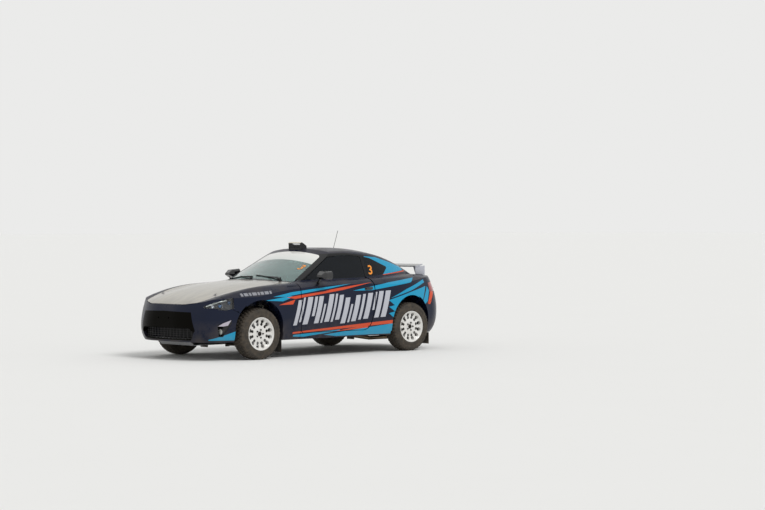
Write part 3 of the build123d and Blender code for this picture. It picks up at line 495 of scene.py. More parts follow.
lamp_housing = plain("lamp_housing_lacquer", screen_colour(30, 32, 36), 0.3, Coat_Weight=0.4).material
tail_housing = plain("tail_lamp_housing", screen_colour(120, 22, 22), 0.35, Coat_Weight=0.4).material
lamp_white = plain(
    "frosted_lamp_insert", screen_colour(228, 232, 226), 0.25, tint=0.12, Coat_Weight=0.5
).material
blue_lens = plain(
    "blue_coated_projector", screen_colour(52, 96, 140), 0.08, tint=0.4, Coat_Weight=1.0
).material
blade_silver = paint("blade_silver_paint", screen_colour(186, 180, 192), striped=False)
number_paint = plain("orange_number_film", NUMBER_ORANGE, 0.4, tint=0.1).material
dark_steel = metal("blackened_steel", screen_colour(46, 44, 43), 0.45)
cream_paint = plain("cream_vent_paint", CREAM, 0.4, tint=0.12).material
plate_white = plain("blank_plate_enamel", screen_colour(224, 224, 220), 0.35, tint=0.08).material
tail_red = plain("red_reflector", screen_colour(172, 18, 20), 0.15, tint=0.3, Coat_Weight=1.0).material
belt_webbing = fabric_finish("harness_webbing", screen_colour(36, 44, 74))
display_glass = plain(
    "dark_display_glass", screen_colour(14, 18, 24), 0.08, tint=0.2, Coat_Weight=1.0
).material

NODE_FINISHES = {
    "bonnet": bonnet_dust_and_glare_paint, "windscreen": screen_glass, "rear_screen": rear_glass,
    "quarter_glass": side_glass, "door_glass_left": side_glass, "door_glass_right": side_glass,
    "headlamps": lamp_glass.material, "tail_lamps": tail_glass.material, "fog_lamps": black_plastic,
    "grille": black_plastic, "roof_vent": black_plastic, "aerial": black_plastic,
    "mirror_left": gloss_black, "mirror_right": gloss_black, "rear_spoiler": spoiler_paint,
    "engine_block": aluminium, "radiator": radiator_core, "sump_guard": aluminium,
    "knuckle_left": iron, "knuckle_right": iron, "front_suspension": iron, "rear_suspension": iron,
    "driveline": steel, "exhaust": exhaust_steel, "mud_flaps": flap_rubber, "roll_cage": cage_paint,
    "seats": gloss_black, "dashboard": dash_plastic, "steering_wheel": suede,
}


def finish_of(name):
    if name.startswith("tyre"):
        return rubber
    if name.startswith("rim"):
        return wheel_white
    return NODE_FINISHES.get(name, body_paint)


for name, obj in nodes.items():
    obj.data.materials.clear()
    obj.data.materials.append(finish_of(name))


def piece(name, mesh_maker, body, slot, material, sharp=32):
    """Turns a bmesh into a finished piece that rides on a body."""
    mesh = bpy.data.meshes.new(name)
    mesh_maker.to_mesh(mesh)
    mesh_maker.free()
    mesh.polygons.foreach_set("use_smooth", [True] * len(mesh.polygons))
    mesh.set_sharp_from_angle(angle=radians(sharp))
    obj = bpy.data.objects.new(name, mesh)
    bpy.context.scene.collection.objects.link(obj)
    for finish in material if isinstance(material, (list, tuple)) else [material]:
        mesh.materials.append(finish)
    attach(obj, body)
    return obj


# Tyre carcass: half cross-section from the middle of the tread to the bead, as (distance from the middle,
# radius).
CARCASS = (
    (0.0, 0.3075), (0.070, 0.3070), (0.086, 0.3010), (0.0945, 0.288), (0.0975, 0.280), (0.0990, 0.268),
    (0.0975, 0.266), (0.0985, 0.250), (0.0975, 0.234), (0.0985, 0.232), (0.0950, 0.214), (0.0900, 0.205),
    (0.0890, 0.1915),
)
TREAD_PITCHES = 44
# Tread rows: distance from the middle, width, length and share of a pitch that the row is turned by.
TREAD_ROWS = (
    (0.025, 0.040, 0.031, 0.0), (-0.025, 0.040, 0.031, 0.5),
    (0.074, 0.036, 0.030, 0.5), (-0.074, 0.036, 0.030, 0.0),
)
TREAD_FOOT = 0.300
TREAD_TOP = 0.3165
SHOULDER_START = 0.05
SHOULDER_DROP = 0.012


def spun(mesh, points, centre, axis=(0, 1, 0), steps=96):
    """Spins (distance along the axis, radius) points round an axis through a centre."""
    axis = Vector(axis).normalized()
    aside = axis.orthogonal().normalized()
    verts = [mesh.verts.new(centre + axis * along + aside * radius) for along, radius in points]
    edges = [mesh.edges.new(pair) for pair in zip(verts, verts[1:])]
    bmesh.ops.spin(mesh, geom=verts + edges, cent=centre, axis=axis, angle=tau, steps=steps, use_merge=True)
    bmesh.ops.recalc_face_normals(mesh, faces=mesh.faces)


def tread_block(mesh, centre, across, width, length, turn):
    """One tapered rubber block whose outer edge falls away on the shoulder."""
    made = bmesh.ops.create_cube(mesh, size=1.0)["verts"]
    outward = 1 if across > 0 else -1
    shoulder = abs(across) > SHOULDER_START
    for vert in made:
        top = vert.co.z > 0
        outer = vert.co.y * outward > 0
        radius = TREAD_TOP if top else TREAD_FOOT
        if shoulder and outer:
            radius -= SHOULDER_DROP
        along, wide = (0.86, 0.92) if top else (1.12, 1.0)
        vert.co = Vector((vert.co.x * length * along, across + vert.co.y * width * wide, radius))
    edges = {edge for vert in made for edge in vert.link_edges}
    edges = [edge for edge in edges if all(vert.co.z > TREAD_FOOT + 0.003 for vert in edge.verts)]
    made_bevel = bmesh.ops.bevel(
        mesh, geom=edges, offset=0.0022, segments=1, profile=0.5, affect="EDGES", material=-1
    )
    block_verts = list({v for v in made if v.is_valid} | {v for f in made_bevel["faces"] for v in f.verts})
    bmesh.ops.rotate(mesh, verts=block_verts, cent=(0, 0, 0), matrix=Matrix.Rotation(turn, 3, "Y"))
    bmesh.ops.translate(mesh, verts=block_verts, vec=centre)


def build_tyre(name):
    low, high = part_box(name)
    centre = (low + high) / 2
    mesh = bmesh.new()
    half = list(CARCASS)
    spun(mesh, [(-a, r) for a, r in reversed(half)] + half[1:], centre)
    for i in range(TREAD_PITCHES):
        for across, width, length, share in TREAD_ROWS:
            tread_block(mesh, centre, across, width, length, tau / TREAD_PITCHES * (i + share))
    body = name.replace("tyre", "wheel")
    tyre = piece(name.replace("tyre", "treaded_tyre"), mesh, body, "tyre_rubber", rubber, 40)
    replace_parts(tyre, name)


for axle in AXLES:
    for side in SIDES:
        build_tyre(f"tyre_{axle}_{side}")


def drum(mesh, start, end, radius, end_radius=None, segments=24):
    """A closed cylinder or cone between two points."""
    start, end = Vector(start), Vector(end)
    turn = (end - start).to_track_quat("Z", "Y").to_matrix().to_4x4()
    return bmesh.ops.create_cone(
        mesh, cap_ends=True, segments=segments, radius1=radius,
        radius2=radius if end_radius is None else end_radius,
        depth=(end - start).length, matrix=Matrix.Translation((start + end) / 2) @ turn,
    )["verts"]


def rounded_box(mesh, low, high, edge=0.004, segments=2):
    """A box between two corners with its edges rounded over."""
    low, high = Vector(low), Vector(high)
    place = Matrix.Translation((low + high) / 2) @ Matrix.Diagonal((*(high - low), 1))
    corners = bmesh.ops.create_cube(mesh, size=1, matrix=place)["verts"]
    edges = list({e for v in corners for e in v.link_edges})
    bmesh.ops.bevel(
        mesh, geom=edges, offset=edge, segments=segments, profile=0.5, affect="EDGES", material=-1
    )


def plate_of(mesh, points, thickness):
    """A flat plate from its outline, given its thickness as a vector."""
    face = mesh.faces.new([mesh.verts.new(p) for p in points])
    made = bmesh.ops.extrude_face_region(mesh, geom=[face])["geom"]
    bmesh.ops.translate(mesh, verts=[v for v in made if isinstance(v, bmesh.types.BMVert)], vec=thickness)


def closed(mesh):
    bmesh.ops.remove_doubles(mesh, verts=mesh.verts, dist=0.00005)
    bmesh.ops.recalc_face_normals(mesh, faces=mesh.faces)
    return mesh


def surface_of(*names):
    """A search tree over the meshes of CAD nodes."""
    points, faces = [], []
    for name in names:
        data = nodes[name].data
        start = len(points)
        points += [v.co.copy() for v in data.vertices]
        faces += [[start + i for i in polygon.vertices] for polygon in data.polygons]
    return BVHTree.FromPolygons(points, faces)


def laid_on(mesh, tree, direction, lift):
    """Moves every vertex along a direction until it lies on a surface, then lifts it clear again."""
    direction = Vector(direction).normalized()
    for vert in mesh.verts:
        hit, normal, _, _ = tree.ray_cast(vert.co - direction * 0.6, direction)
        if hit:
            vert.co = hit - direction * lift


def mirrored_pair(name, build, body, slot, material, merged=False, **options):
    """Builds a left-hand piece and its mirror image. body may name a left-hand body."""
    for side in SIDES:
        mesh = bmesh.new()
        build(mesh)
        if merged:
            closed(mesh)
        if side == "right":
            bmesh.ops.scale(mesh, vec=(1, -1, 1), verts=mesh.verts)
            bmesh.ops.reverse_faces(mesh, faces=mesh.faces)
        piece(f"{name}_{side}", mesh, body.replace("left", side), slot, material, **options)


def paint_faces(name, finishes, choose):
    """Gives faces of a CAD node other finishes: choose turns a face's middle and normal into an index."""
    obj = nodes[name]
    for finish in finishes:
        obj.data.materials.append(finish)
    for polygon in obj.data.polygons:
        polygon.material_index = choose(polygon.center, polygon.normal)


def tube(name, points, radius, body, slot, material, order=3):
    """A bent pipe along a smooth line."""
    curve = bpy.data.curves.new(name + "_line", "CURVE")
    curve.dimensions = "3D"
    curve.bevel_depth = radius
    curve.bevel_resolution = 3
    curve.resolution_u = 8
    curve.use_fill_caps = True
    spline = curve.splines.new("NURBS")
    spline.points.add(len(points) - 1)
    for point, place in zip(spline.points, points):
        point.co = (*place, 1)
    spline.order_u = order
    spline.use_endpoint_u = True
    line = bpy.data.objects.new(name + "_line", curve)
    bpy.context.scene.collection.objects.link(line)
    data = bpy.data.meshes.new_from_object(line.evaluated_get(bpy.context.evaluated_depsgraph_get()))
    bpy.data.objects.remove(line)
    mesh = bmesh.new()
    mesh.from_mesh(data)
    return piece(name, closed(mesh), body, slot, material, 60)


# Wheels: the rim's own faces are told apart by how far they lie from the axle and from the wheel's middle.
DISC_R = (0.068, 0.1405)
DISC_DEPTH = (-0.0125, 0.0145)
NUT_CIRCLE = 0.050
NUT_COUNT = 5


def dress_wheel(axle, side):
    name = f"rim_{axle}_{side}"
    low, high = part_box(name)
    centre = (low + high) / 2
    outward = SIDES[side]

    def choose(middle, normal):
        radius = sqrt((middle.x - centre.x) ** 2 + (middle.z - centre.z) ** 2)
        depth = (middle.y - centre.y) * outward
        if DISC_R[0] < radius < DISC_R[1] and DISC_DEPTH[0] < depth < DISC_DEPTH[1]:
            return 1
        if radius < DISC_R[1] and depth < 0.0475:
            return 2
        if radius < 0.0285:
            return 3
        return 0

    paint_faces(name, (steel, iron, dark_steel), choose)
    mesh = bmesh.new()
    for i in range(NUT_COUNT):
        turn = tau / NUT_COUNT * i
        foot = centre + Vector((NUT_CIRCLE * cos(turn), 0.0575 * outward, NUT_CIRCLE * sin(turn)))
        drum(mesh, foot, foot + Vector((0, 0.020 * outward, 0)), 0.0095, 0.0088, 6)
        drum(mesh, foot, foot + Vector((0, 0.006 * outward, 0)), 0.0108, 0.0104, 20)
    nave = [(0.0695, 0), (0.0695, 0.017), (0.074, 0.019), (0.077, 0.016), (0.079, 0.006), (0.079, 0)]
    spun(mesh, [(depth * outward, radius) for depth, radius in nave], centre, steps=32)
    piece(f"wheel_nuts_{axle}_{side}", closed(mesh), f"wheel_{axle}_{side}", "steel", dark_steel, 35)


for axle in AXLES:
    for side in SIDES:
        dress_wheel(axle, side)


# Lamps: the outer faces are the clear cover, and the back and side walls are the housing seen through it.
def cover_or_housing(forward):
    def choose(middle, normal):
        return 0 if normal.x * forward > 0.05 else 1

    return choose


paint_faces("headlamps", (lamp_housing,), cover_or_housing(-1))
paint_faces("tail_lamps", (tail_housing,), cover_or_housing(1))


def lamp_bowl(mesh, centre, facing, radius, depth):
    """A round reflector, open to the front, with a rolled rim."""
    profile = [(0, radius), (0.003, radius * 1.06), (0.005, radius), (-0.1 * depth, radius * 0.93)]
    for share in (0.85, 0.7, 0.5, 0.3, 0.12):
        profile.append((-depth * (1 - share**2), radius * share))
    profile += [(-depth, 0), (-depth - 0.003, 0), (-depth * 0.5, radius * 0.72)]
    spun(mesh, profile + profile[:1], Vector(centre), facing, 40)


HEADLAMP_TOP = (
    (-1.936, -0.612, 0.664), (-1.885, -0.662, 0.690), (-1.822, -0.706, 0.714), (-1.730, -0.750, 0.736),
)
PROJECTOR = Vector((-1.802, -0.708, 0.664))
# Small lamps to each stretch of the row, and how far each reaches below and above its place.
LAMPS_A_STRETCH = 6
LAMP_BELOW = Vector((0.006, 0.0032, 0.008))
LAMP_ABOVE = Vector((0.006, 0.0032, 0.006))


def build_headlamp(mesh):
    """The reflector bowls: one behind the dipped-beam projector, the main reflector, and a small one."""
    lamp_bowl(mesh, PROJECTOR, (-0.80, -0.58, 0.12), 0.035, 0.030)
    lamp_bowl(mesh, (-1.700, -0.752, 0.706), (-0.62, -0.77, 0.12), 0.024, 0.020)
    lamp_bowl(mesh, (-1.876, -0.665, 0.660), (-0.86, -0.50, 0.12), 0.020, 0.016)


def build_lamp_row(mesh):
    for start, end in zip(HEADLAMP_TOP, HEADLAMP_TOP[1:]):
        start, end = Vector(start), Vector(end)
        for i in range(LAMPS_A_STRETCH):
            place = start.lerp(end, (i + 0.5) / LAMPS_A_STRETCH)
            rounded_box(mesh, place - LAMP_BELOW, place + LAMP_ABOVE, 0.0012, 1)


def build_projector(mesh):
    for centre, radius in ((PROJECTOR, 0.022), (Vector((-1.696, -0.749, 0.706)), 0.015)):
        dome = bmesh.ops.create_uvsphere(mesh, u_segments=28, v_segments=14, radius=radius)["verts"]
        bmesh.ops.translate(mesh, verts=dome, vec=centre)


mirrored_pair("headlamp_reflectors", build_headlamp, "body", "lamp_lens", chrome, merged=True)
mirrored_pair("headlamp_light_row", build_lamp_row, "body", "lamp_lens", lamp_white)
mirrored_pair("headlamp_projector", build_projector, "body", "lamp_lens", blue_lens)


# Fog lamps and the silver blade over each.
FOG_FACE = Vector((-1.8005, -0.718, 0.356))


def build_fog_bezel(mesh):
    profile = [(-0.001, 0.0425), (0.005, 0.0415), (0.0065, 0.0385), (0.004, 0.0365), (-0.001, 0.036)]
    spun(mesh, profile + profile[:1], FOG_FACE, (-1, 0, 0), 48)


def build_fog_lens(mesh):
    dome = [(0.002, 0.0355), (0.0045, 0.030), (0.0062, 0.020), (0.007, 0.010), (0.0072, 0)]
    spun(mesh, [(-0.001, 0), (-0.001, 0.0362)] + dome, FOG_FACE, (-1, 0, 0), 48)


def build_fog_blade(mesh):
    outline = [
        (-1.860, -0.741, 0.425), (-1.800, -0.776, 0.462), (-1.700, -0.803, 0.496),
        (-1.716, -0.797, 0.470), (-1.742, -0.790, 0.432), (-1.800, -0.768, 0.422),
    ]
    plate_of(mesh, outline, Vector((0.003, 0.006, 0)))
    edges = [e for e in mesh.edges if e.calc_face_angle(0) > 1]
    bmesh.ops.bevel(mesh, geom=edges, offset=0.0012, segments=2, profile=0.5, affect="EDGES", material=-1)


mirrored_pair("fog_lamp_bezel", build_fog_bezel, "body", "black_plastic", gloss_black, merged=True)
mirrored_pair("fog_lamp_lens", build_fog_lens, "body", "lamp_lens", lamp_white, merged=True)
mirrored_pair("fog_lamp_blade", build_fog_blade, "body", "body_paint", blade_silver, merged=True)


# Competition numbers: an orange 3 laid on each rear side glass, and a small one on the windscreen.
def numeral(height):
    """A plain slanted 3, about 0.72 as wide as it is high, as a fine flat mesh in the X and Y plane."""
    text = bpy.data.curves.new("numeral", "FONT")
    text.body = "3"
    text.size = height / 0.72
    text.offset = height * 0.02
    text.shear = 0.15
    text.align_x = "CENTER"
    text.align_y = "CENTER"
    holder = bpy.data.objects.new("numeral", text)
    bpy.context.scene.collection.objects.link(holder)
    data = bpy.data.meshes.new_from_object(holder.evaluated_get(bpy.context.evaluated_depsgraph_get()))
    bpy.data.objects.remove(holder)
    mesh = bmesh.new()
    mesh.from_mesh(data)
    bmesh.ops.triangulate(mesh, faces=mesh.faces)
    for _ in range(2):
        long_edges = [e for e in mesh.edges if e.calc_length() > height / 12]
        bmesh.ops.subdivide_edges(mesh, edges=long_edges, cuts=2)
        bmesh.ops.triangulate(mesh, faces=mesh.faces)
    return mesh


def stuck_numeral(name, height, centre, right, up, tree, inward):
    mesh = numeral(height)
    right, up = Vector(right).normalized(), Vector(up).normalized()
    place = Matrix((right, up, right.cross(up))).transposed().to_4x4()
    place.translation = centre
    bmesh.ops.transform(mesh, matrix=place, verts=mesh.verts)
    laid_on(mesh, tree, inward, 0.0012)
    piece(name, mesh, "body", "white_paint", number_paint, 60)


side_glass_surface = surface_of("quarter_glass")
for side, outward in SIDES.items():
    stuck_numeral(
        f"race_number_{side}", 0.135, (0.742, outward * 0.7, 1.076), (-outward, 0, 0), (0, 0, 1),
        side_glass_surface, (0, -outward, -0.35),
    )
stuck_numeral(
    "race_number_windscreen", 0.115, (-0.300, -0.490, 1.105), (0.12, -0.98, 0.05), (0.85, 0.05, 0.45),
    surface_of("windscreen"), (0.44, 0.1, -0.89),
)


# Small trim on the body.
bonnet_surface = surface_of("bonnet")


def build_bonnet_pin(mesh):
    x, y = -1.72, -0.52
    hit, normal, _, _ = bonnet_surface.ray_cast(Vector((x, y, 1.5)), Vector((0, 0, -1)))
    drum(mesh, hit - normal * 0.001, hit + normal * 0.0025, 0.024, 0.022, 32)
    drum(mesh, hit, hit + normal * 0.022, 0.0055, 0.0050, 16)
    across = normal.cross(Vector((0, 1, 0))).normalized()
    clip = hit + normal * 0.014
    drum(mesh, clip - across * 0.022, clip + across * 0.022, 0.0018, segments=8)
    drum(mesh, clip - across * 0.022, clip - across * 0.012 + normal * 0.012, 0.0018, segments=8)


mirrored_pair("bonnet_pin", build_bonnet_pin, "bonnet", "steel", steel)


def build_mirror_glass(mesh):
    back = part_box("mirror_left")[1].x - 0.0005
    outline = (
        (-0.828, 0.972), (-0.982, 0.969), (-0.986, 0.985), (-0.981, 1.050), (-0.968, 1.056),
        (-0.846, 1.066), (-0.834, 1.056),
    )
    plate_of(mesh, [(back, y, z) for y, z in outline], Vector((0.0025, 0, 0)))


def build_handle(mesh):
    """A door handle: a bar that stands off a shallow plate."""
    hit, normal, _, _ = door_surface.ray_cast(Vector((0.545, -1.4, 0.83)), Vector((0, 1, 0)))
    y = hit.y
    rounded_box(mesh, (0.475, y - 0.004, 0.812), (0.615, y + 0.004, 0.850), 0.003)
    rounded_box(mesh, (0.485, y - 0.022, 0.822), (0.600, y - 0.012, 0.842), 0.0045, 3)
    rounded_box(mesh, (0.485, y - 0.018, 0.824), (0.497, y + 0.002, 0.840), 0.003)
    rounded_box(mesh, (0.588, y - 0.018, 0.824), (0.600, y + 0.002, 0.840), 0.003)


door_surface = surface_of("door_left")
mirrored_pair("mirror_glass", build_mirror_glass, "door_left", "steel", chrome, merged=True)
mirrored_pair("door_handle", build_handle, "door_left", "black_plastic", gloss_black)


# Roof vent, spoiler, wipers, and the small pieces at the tail.
def upper_faces(height, slope):
    """Chooses the second finish on faces above a height that look up."""
    return lambda middle, normal: 1 if middle.z > height and normal.z > slope else 0


paint_faces("roof_vent", (cream_paint,), upper_faces(1.36, 0.3))
paint_faces("rear_spoiler", (gloss_black,), upper_faces(1.088, 0.1))
SCREEN_UP = Vector((-sin(SCREEN_SLOPE), 0, cos(SCREEN_SLOPE)))
SCREEN_RUN = Vector((cos(SCREEN_SLOPE), 0, sin(SCREEN_SLOPE)))


def build_vent_mesh(mesh):
    """A lattice across the roof vent's mouth."""
    for i in range(7):
        z = 1.352 + 0.008 * i
        rounded_box(mesh, (0.018, -0.103, z - 0.0012), (0.0205, 0.103, z + 0.0012), 0.0004, 1)
    for i in range(17):
        y = 0.0125 * (i - 8)
        rounded_box(mesh, (0.0185, y - 0.0008, 1.350), (0.0200, y + 0.0008, 1.406), 0.0003, 1)


def on_screen(run, across, height=0.0):
    return SCREEN_FOOT + SCREEN_RUN * run + Vector((0, across, 0)) + SCREEN_UP * height


def strut(mesh, start, end, start_size, end_size):
    """A tapered flat bar between two points on the windscreen's plane: sizes are (width, thickness)."""
    start, end = Vector(start), Vector(end)
    along = (end - start).normalized()
    across = SCREEN_UP.cross(along).normalized()
    rings = []
    for place, (width, thick) in ((start, start_size), (end, end_size)):
        corners = ((-1, 0), (1, 0), (0.7, 1), (-0.7, 1))
        ring = [place + across * (a * width / 2) + SCREEN_UP * (b * thick) for a, b in corners]
        rings.append([mesh.verts.new(corner) for corner in ring])
    mesh.faces.new(rings[0])
    mesh.faces.new(rings[1][::-1])
    for i in range(4):
        j = (i + 1) % 4
        mesh.faces.new((rings[0][i], rings[1][i], rings[1][j], rings[0][j]))


BLADE_SIZE = (0.010, 0.011)


def build_wiper(mesh, pivot_y, reach, tree):
    blade = bmesh.new()
    steps = 12
    for i in range(steps):
        run = 0.095 + 0.030 * i / steps
        start = on_screen(run, pivot_y + reach * i / steps)
        end = on_screen(run + 0.0025, pivot_y + reach * (i + 1) / steps)
        strut(blade, start, end, BLADE_SIZE, BLADE_SIZE)
    for vert in blade.verts:
        height = (vert.co - SCREEN_FOOT).dot(SCREEN_UP)
        hit, _, _, _ = tree.ray_cast(vert.co + SCREEN_UP * 0.3, -SCREEN_UP)
        if hit:
            vert.co = hit + SCREEN_UP * (height + 0.001)
    data = bpy.data.meshes.new("blade")
    blade.to_mesh(data)
    blade.free()
    mesh.from_mesh(data)
    bpy.data.meshes.remove(data)
    pivot = on_screen(0.055, pivot_y - 0.02 * (1 if reach > 0 else -1), -0.004)
    tip = on_screen(0.108, pivot_y + reach * 0.5, 0.006)
    hit, _, _, _ = tree.ray_cast(tip + SCREEN_UP * 0.3, -SCREEN_UP)
    tip = hit + SCREEN_UP * 0.013
    knee = pivot.lerp(tip, 0.18) + SCREEN_UP * 0.016
    strut(mesh, pivot, knee, (0.026, 0.014), (0.020, 0.009))
    strut(mesh, knee, tip, (0.020, 0.009), (0.009, 0.006))
    drum(mesh, pivot - SCREEN_UP * 0.02, pivot + SCREEN_UP * 0.012, 0.014, 0.012, 20)


vent_mesh = bmesh.new()
build_vent_mesh(vent_mesh)
piece("roof_vent_mesh", vent_mesh, "body", "black_plastic", gloss_black)
screen_surface = surface_of("windscreen")
for name, pivot_y, reach in (("left", -0.50, 0.50), ("right", 0.04, 0.52)):
    wiper = bmesh.new()
    build_wiper(wiper, pivot_y, reach, screen_surface)
    piece(f"wiper_{name}", closed(wiper), "body", "black_plastic", black_plastic, 30)


def draped_panel(mesh, low, high, spread, at, facing, tree, thickness, lift=0.0):
    """A rectangular panel laid on a curved surface: low and high are its corners as (across, height)."""
    grid = bmesh.ops.create_grid(mesh, x_segments=spread[0], y_segments=spread[1], size=0.5)["verts"]
    facing = Vector(facing)
    side = Vector((0, 1, 0)) if abs(facing.x) > 0.5 else Vector((1, 0, 0))
    for vert in grid:
        share_a, share_b = vert.co.x + 0.5, vert.co.y + 0.5
        place = Vector(at) + side * (low[0] + (high[0] - low[0]) * share_a)
        place.z = low[1] + (high[1] - low[1]) * share_b
        hit, _, _, _ = tree.ray_cast(place + facing * 0.5, -facing)
        vert.co = (hit if hit else place) + facing * lift
    own_faces = list({face for vert in grid for face in vert.link_faces})
    made = bmesh.ops.extrude_face_region(mesh, geom=own_faces)["geom"]
    raised = [v for v in made if isinstance(v, bmesh.types.BMVert)]
    bmesh.ops.translate(mesh, verts=raised, vec=facing * thickness)
    bmesh.ops.recalc_face_normals(mesh, faces=mesh.faces)
    rim = [e for e in mesh.edges if e.calc_face_angle(0) > 0.9]
    bmesh.ops.bevel(
        mesh, geom=rim, offset=thickness * 0.35, segments=2, profile=0.5, affect="EDGES", material=-1
    )


TAIL_X = 2.1


def tail_panel(mesh, low, high, spread, tree, thickness, lift=0.0):
    """A panel laid on the car's tail."""
    draped_panel(mesh, low, high, spread, (TAIL_X, 0, 0), (1, 0, 0), tree, thickness, lift)


tail_surface = surface_of("rear_bumper", "boot_lid", "body_shell")
lid_surface = surface_of("boot_lid")
shell_surface = surface_of("body_shell")
plate = bmesh.new()
tail_panel(plate, (-0.26, 0.470), (0.26, 0.580), (14, 4), tail_surface, 0.004, -0.0034)
piece("rear_blank_plate", plate, "body", "white_paint", plate_white)
reflectors = bmesh.new()
for side in (-1, 1):
    across = sorted((side * 0.46, side * 0.60))
    tail_panel(reflectors, (across[0], 0.345), (across[1], 0.372), (8, 2), tail_surface, 0.005)
piece("rear_reflectors", reflectors, "body", "tail_lens", tail_red)
third = bmesh.new()
tail_panel(third, (-0.14, 0.905), (0.14, 0.923), (10, 2), lid_surface, 0.004)
piece("third_stop_lamp", third, "boot_lid", "tail_lens", tail_red)
grip = bmesh.new()
tail_panel(grip, (-0.10, 0.800), (0.10, 0.822), (8, 2), lid_surface, 0.008)
piece("boot_lid_grip", grip, "boot_lid", "black_plastic", gloss_black)
fuel = bmesh.new()
drum(fuel, (1.33, 0.80, 0.80), (1.33, 1.00, 0.80), 0.060, segments=48)
for vert in fuel.verts:
    hit, _, _, _ = shell_surface.ray_cast(Vector((vert.co.x, 1.2, vert.co.z)), Vector((0, -1, 0)))
    vert.co.y = hit.y + (0.0025 if vert.co.y > 0.9 else -0.002)
piece("fuel_flap", fuel, "body", "body_paint", gloss_black, 30)


def build_tail_fins(mesh):
    outline = ((1.93, 0.250), (2.070, 0.262), (2.094, 0.330), (1.98, 0.330))
    for y in (-0.46, -0.155, 0.155, 0.46):
        plate_of(mesh, [(x, y - 0.004, z) for x, z in outline], Vector((0, 0.008, 0)))


fins = bmesh.new()
build_tail_fins(fins)
piece("tail_fins", closed(fins), "body", "black_plastic", black_plastic)


# Cabin: seat pads, harness, steering wheel centre, dashboard instruments and door cards.
SEAT_Y = 0.362
SEAT_BACK = (Vector((0.166, 0, 0.436)), Vector((0.338, 0, 0.952)))
PAD_RIM = 0.98
HEAD_PAD = (0.060, 0.110, 0.016)
THIGH_PAD = (0.140, 0.030, 0.012)
RIB_PAD = (0.150, 0.030, 0.012)
# Shoulder belts down the backrest: share of its height, distance in front of it, distance from the middle.
SHOULDER_BELT = ((0.90, 0.026, 0.048), (0.70, 0.048, 0.050), (0.40, 0.062, 0.050), (0.16, 0.060, 0.035))
# Lap belt: distance along the car, distance from the middle of the seat, height.
LAP_BELT = ((0.10, 0.160, 0.452), (0.06, 0.135, 0.452), (0.02, 0.08, 0.462))
# A belt's width and thickness.
BELT = (0.046, 0.003)


def pad(mesh, half, crown, channels, place):
    """A stuffed pad: crowned on top, pulled in along its sides, with sewn channels across its length."""
    bmesh.ops.create_cube(mesh, size=2.0)
    bmesh.ops.subdivide_edges(mesh, edges=mesh.edges[:], cuts=23, use_grid_fill=True)
    for vert in mesh.verts:
        u, v, w = vert.co
        rim = max(0.0, 1 - u**4) * max(0.0, 1 - v**4)
        pull = 1 - 0.05 * (1 - (v if abs(v) < 1 else u) ** 2)
        top = w * half.z * (0.55 + 0.45 * sqrt(rim))
        if w > 0.3:
            top += crown * rim
            for line in channels:
                top -= 0.35 * crown * bell((u - line) * half.x / 0.006) * rim**0.3
            top -= 0.5 * crown * bell((abs(v) - 0.72) * half.y / 0.006) * rim**0.3
        corner = 1 - 0.06 * (u * u) * (v * v)
        along = u * half.x * corner * (pull if abs(v) > PAD_RIM else 1)
        across = v * half.y * corner * (pull if abs(u) > PAD_RIM else 1)
        vert.co = Vector((along, across, top))
    bmesh.ops.transform(mesh, matrix=place, verts=mesh.verts)


def bell(distance):
    return 1 / (1 + distance * distance)


def turned_to(origin, along, up):
    """A frame whose x runs along one direction and whose z is near another."""
    along = Vector(along).normalized()
    side = Vector(up).cross(along).normalized()
    frame_matrix = Matrix((along, side, along.cross(side))).transposed().to_4x4()
    frame_matrix.translation = Vector(origin)
    return frame_matrix


def seat_pad(name, centre, along, up, half, crown, channels):
    mesh = bmesh.new()
    pad(mesh, Vector(half), crown, channels, turned_to(centre, along, up))
    bmesh.ops.recalc_face_normals(mesh, faces=mesh.faces)
    obj = piece(name, mesh, "body", "seat_fabric", seat_cloth, 60)


def ribbon(mesh, points, across, up):
    """A flat strap along points."""
    width, thickness = BELT
    rings = []
    across, up = Vector(across).normalized(), Vector(up).normalized()
    for place in points:
        place = Vector(place)
        rings.append([
            mesh.verts.new(place + across * (a * width / 2) + up * (b * thickness / 2))
            for a, b in ((-1, -1), (1, -1), (1, 1), (-1, 1))
        ])
    mesh.faces.new(rings[0][::-1])
    mesh.faces.new(rings[-1])
    for ring, after in zip(rings, rings[1:]):
        for i in range(4):
            mesh.faces.new((ring[i], ring[(i + 1) % 4], after[(i + 1) % 4], after[i]))


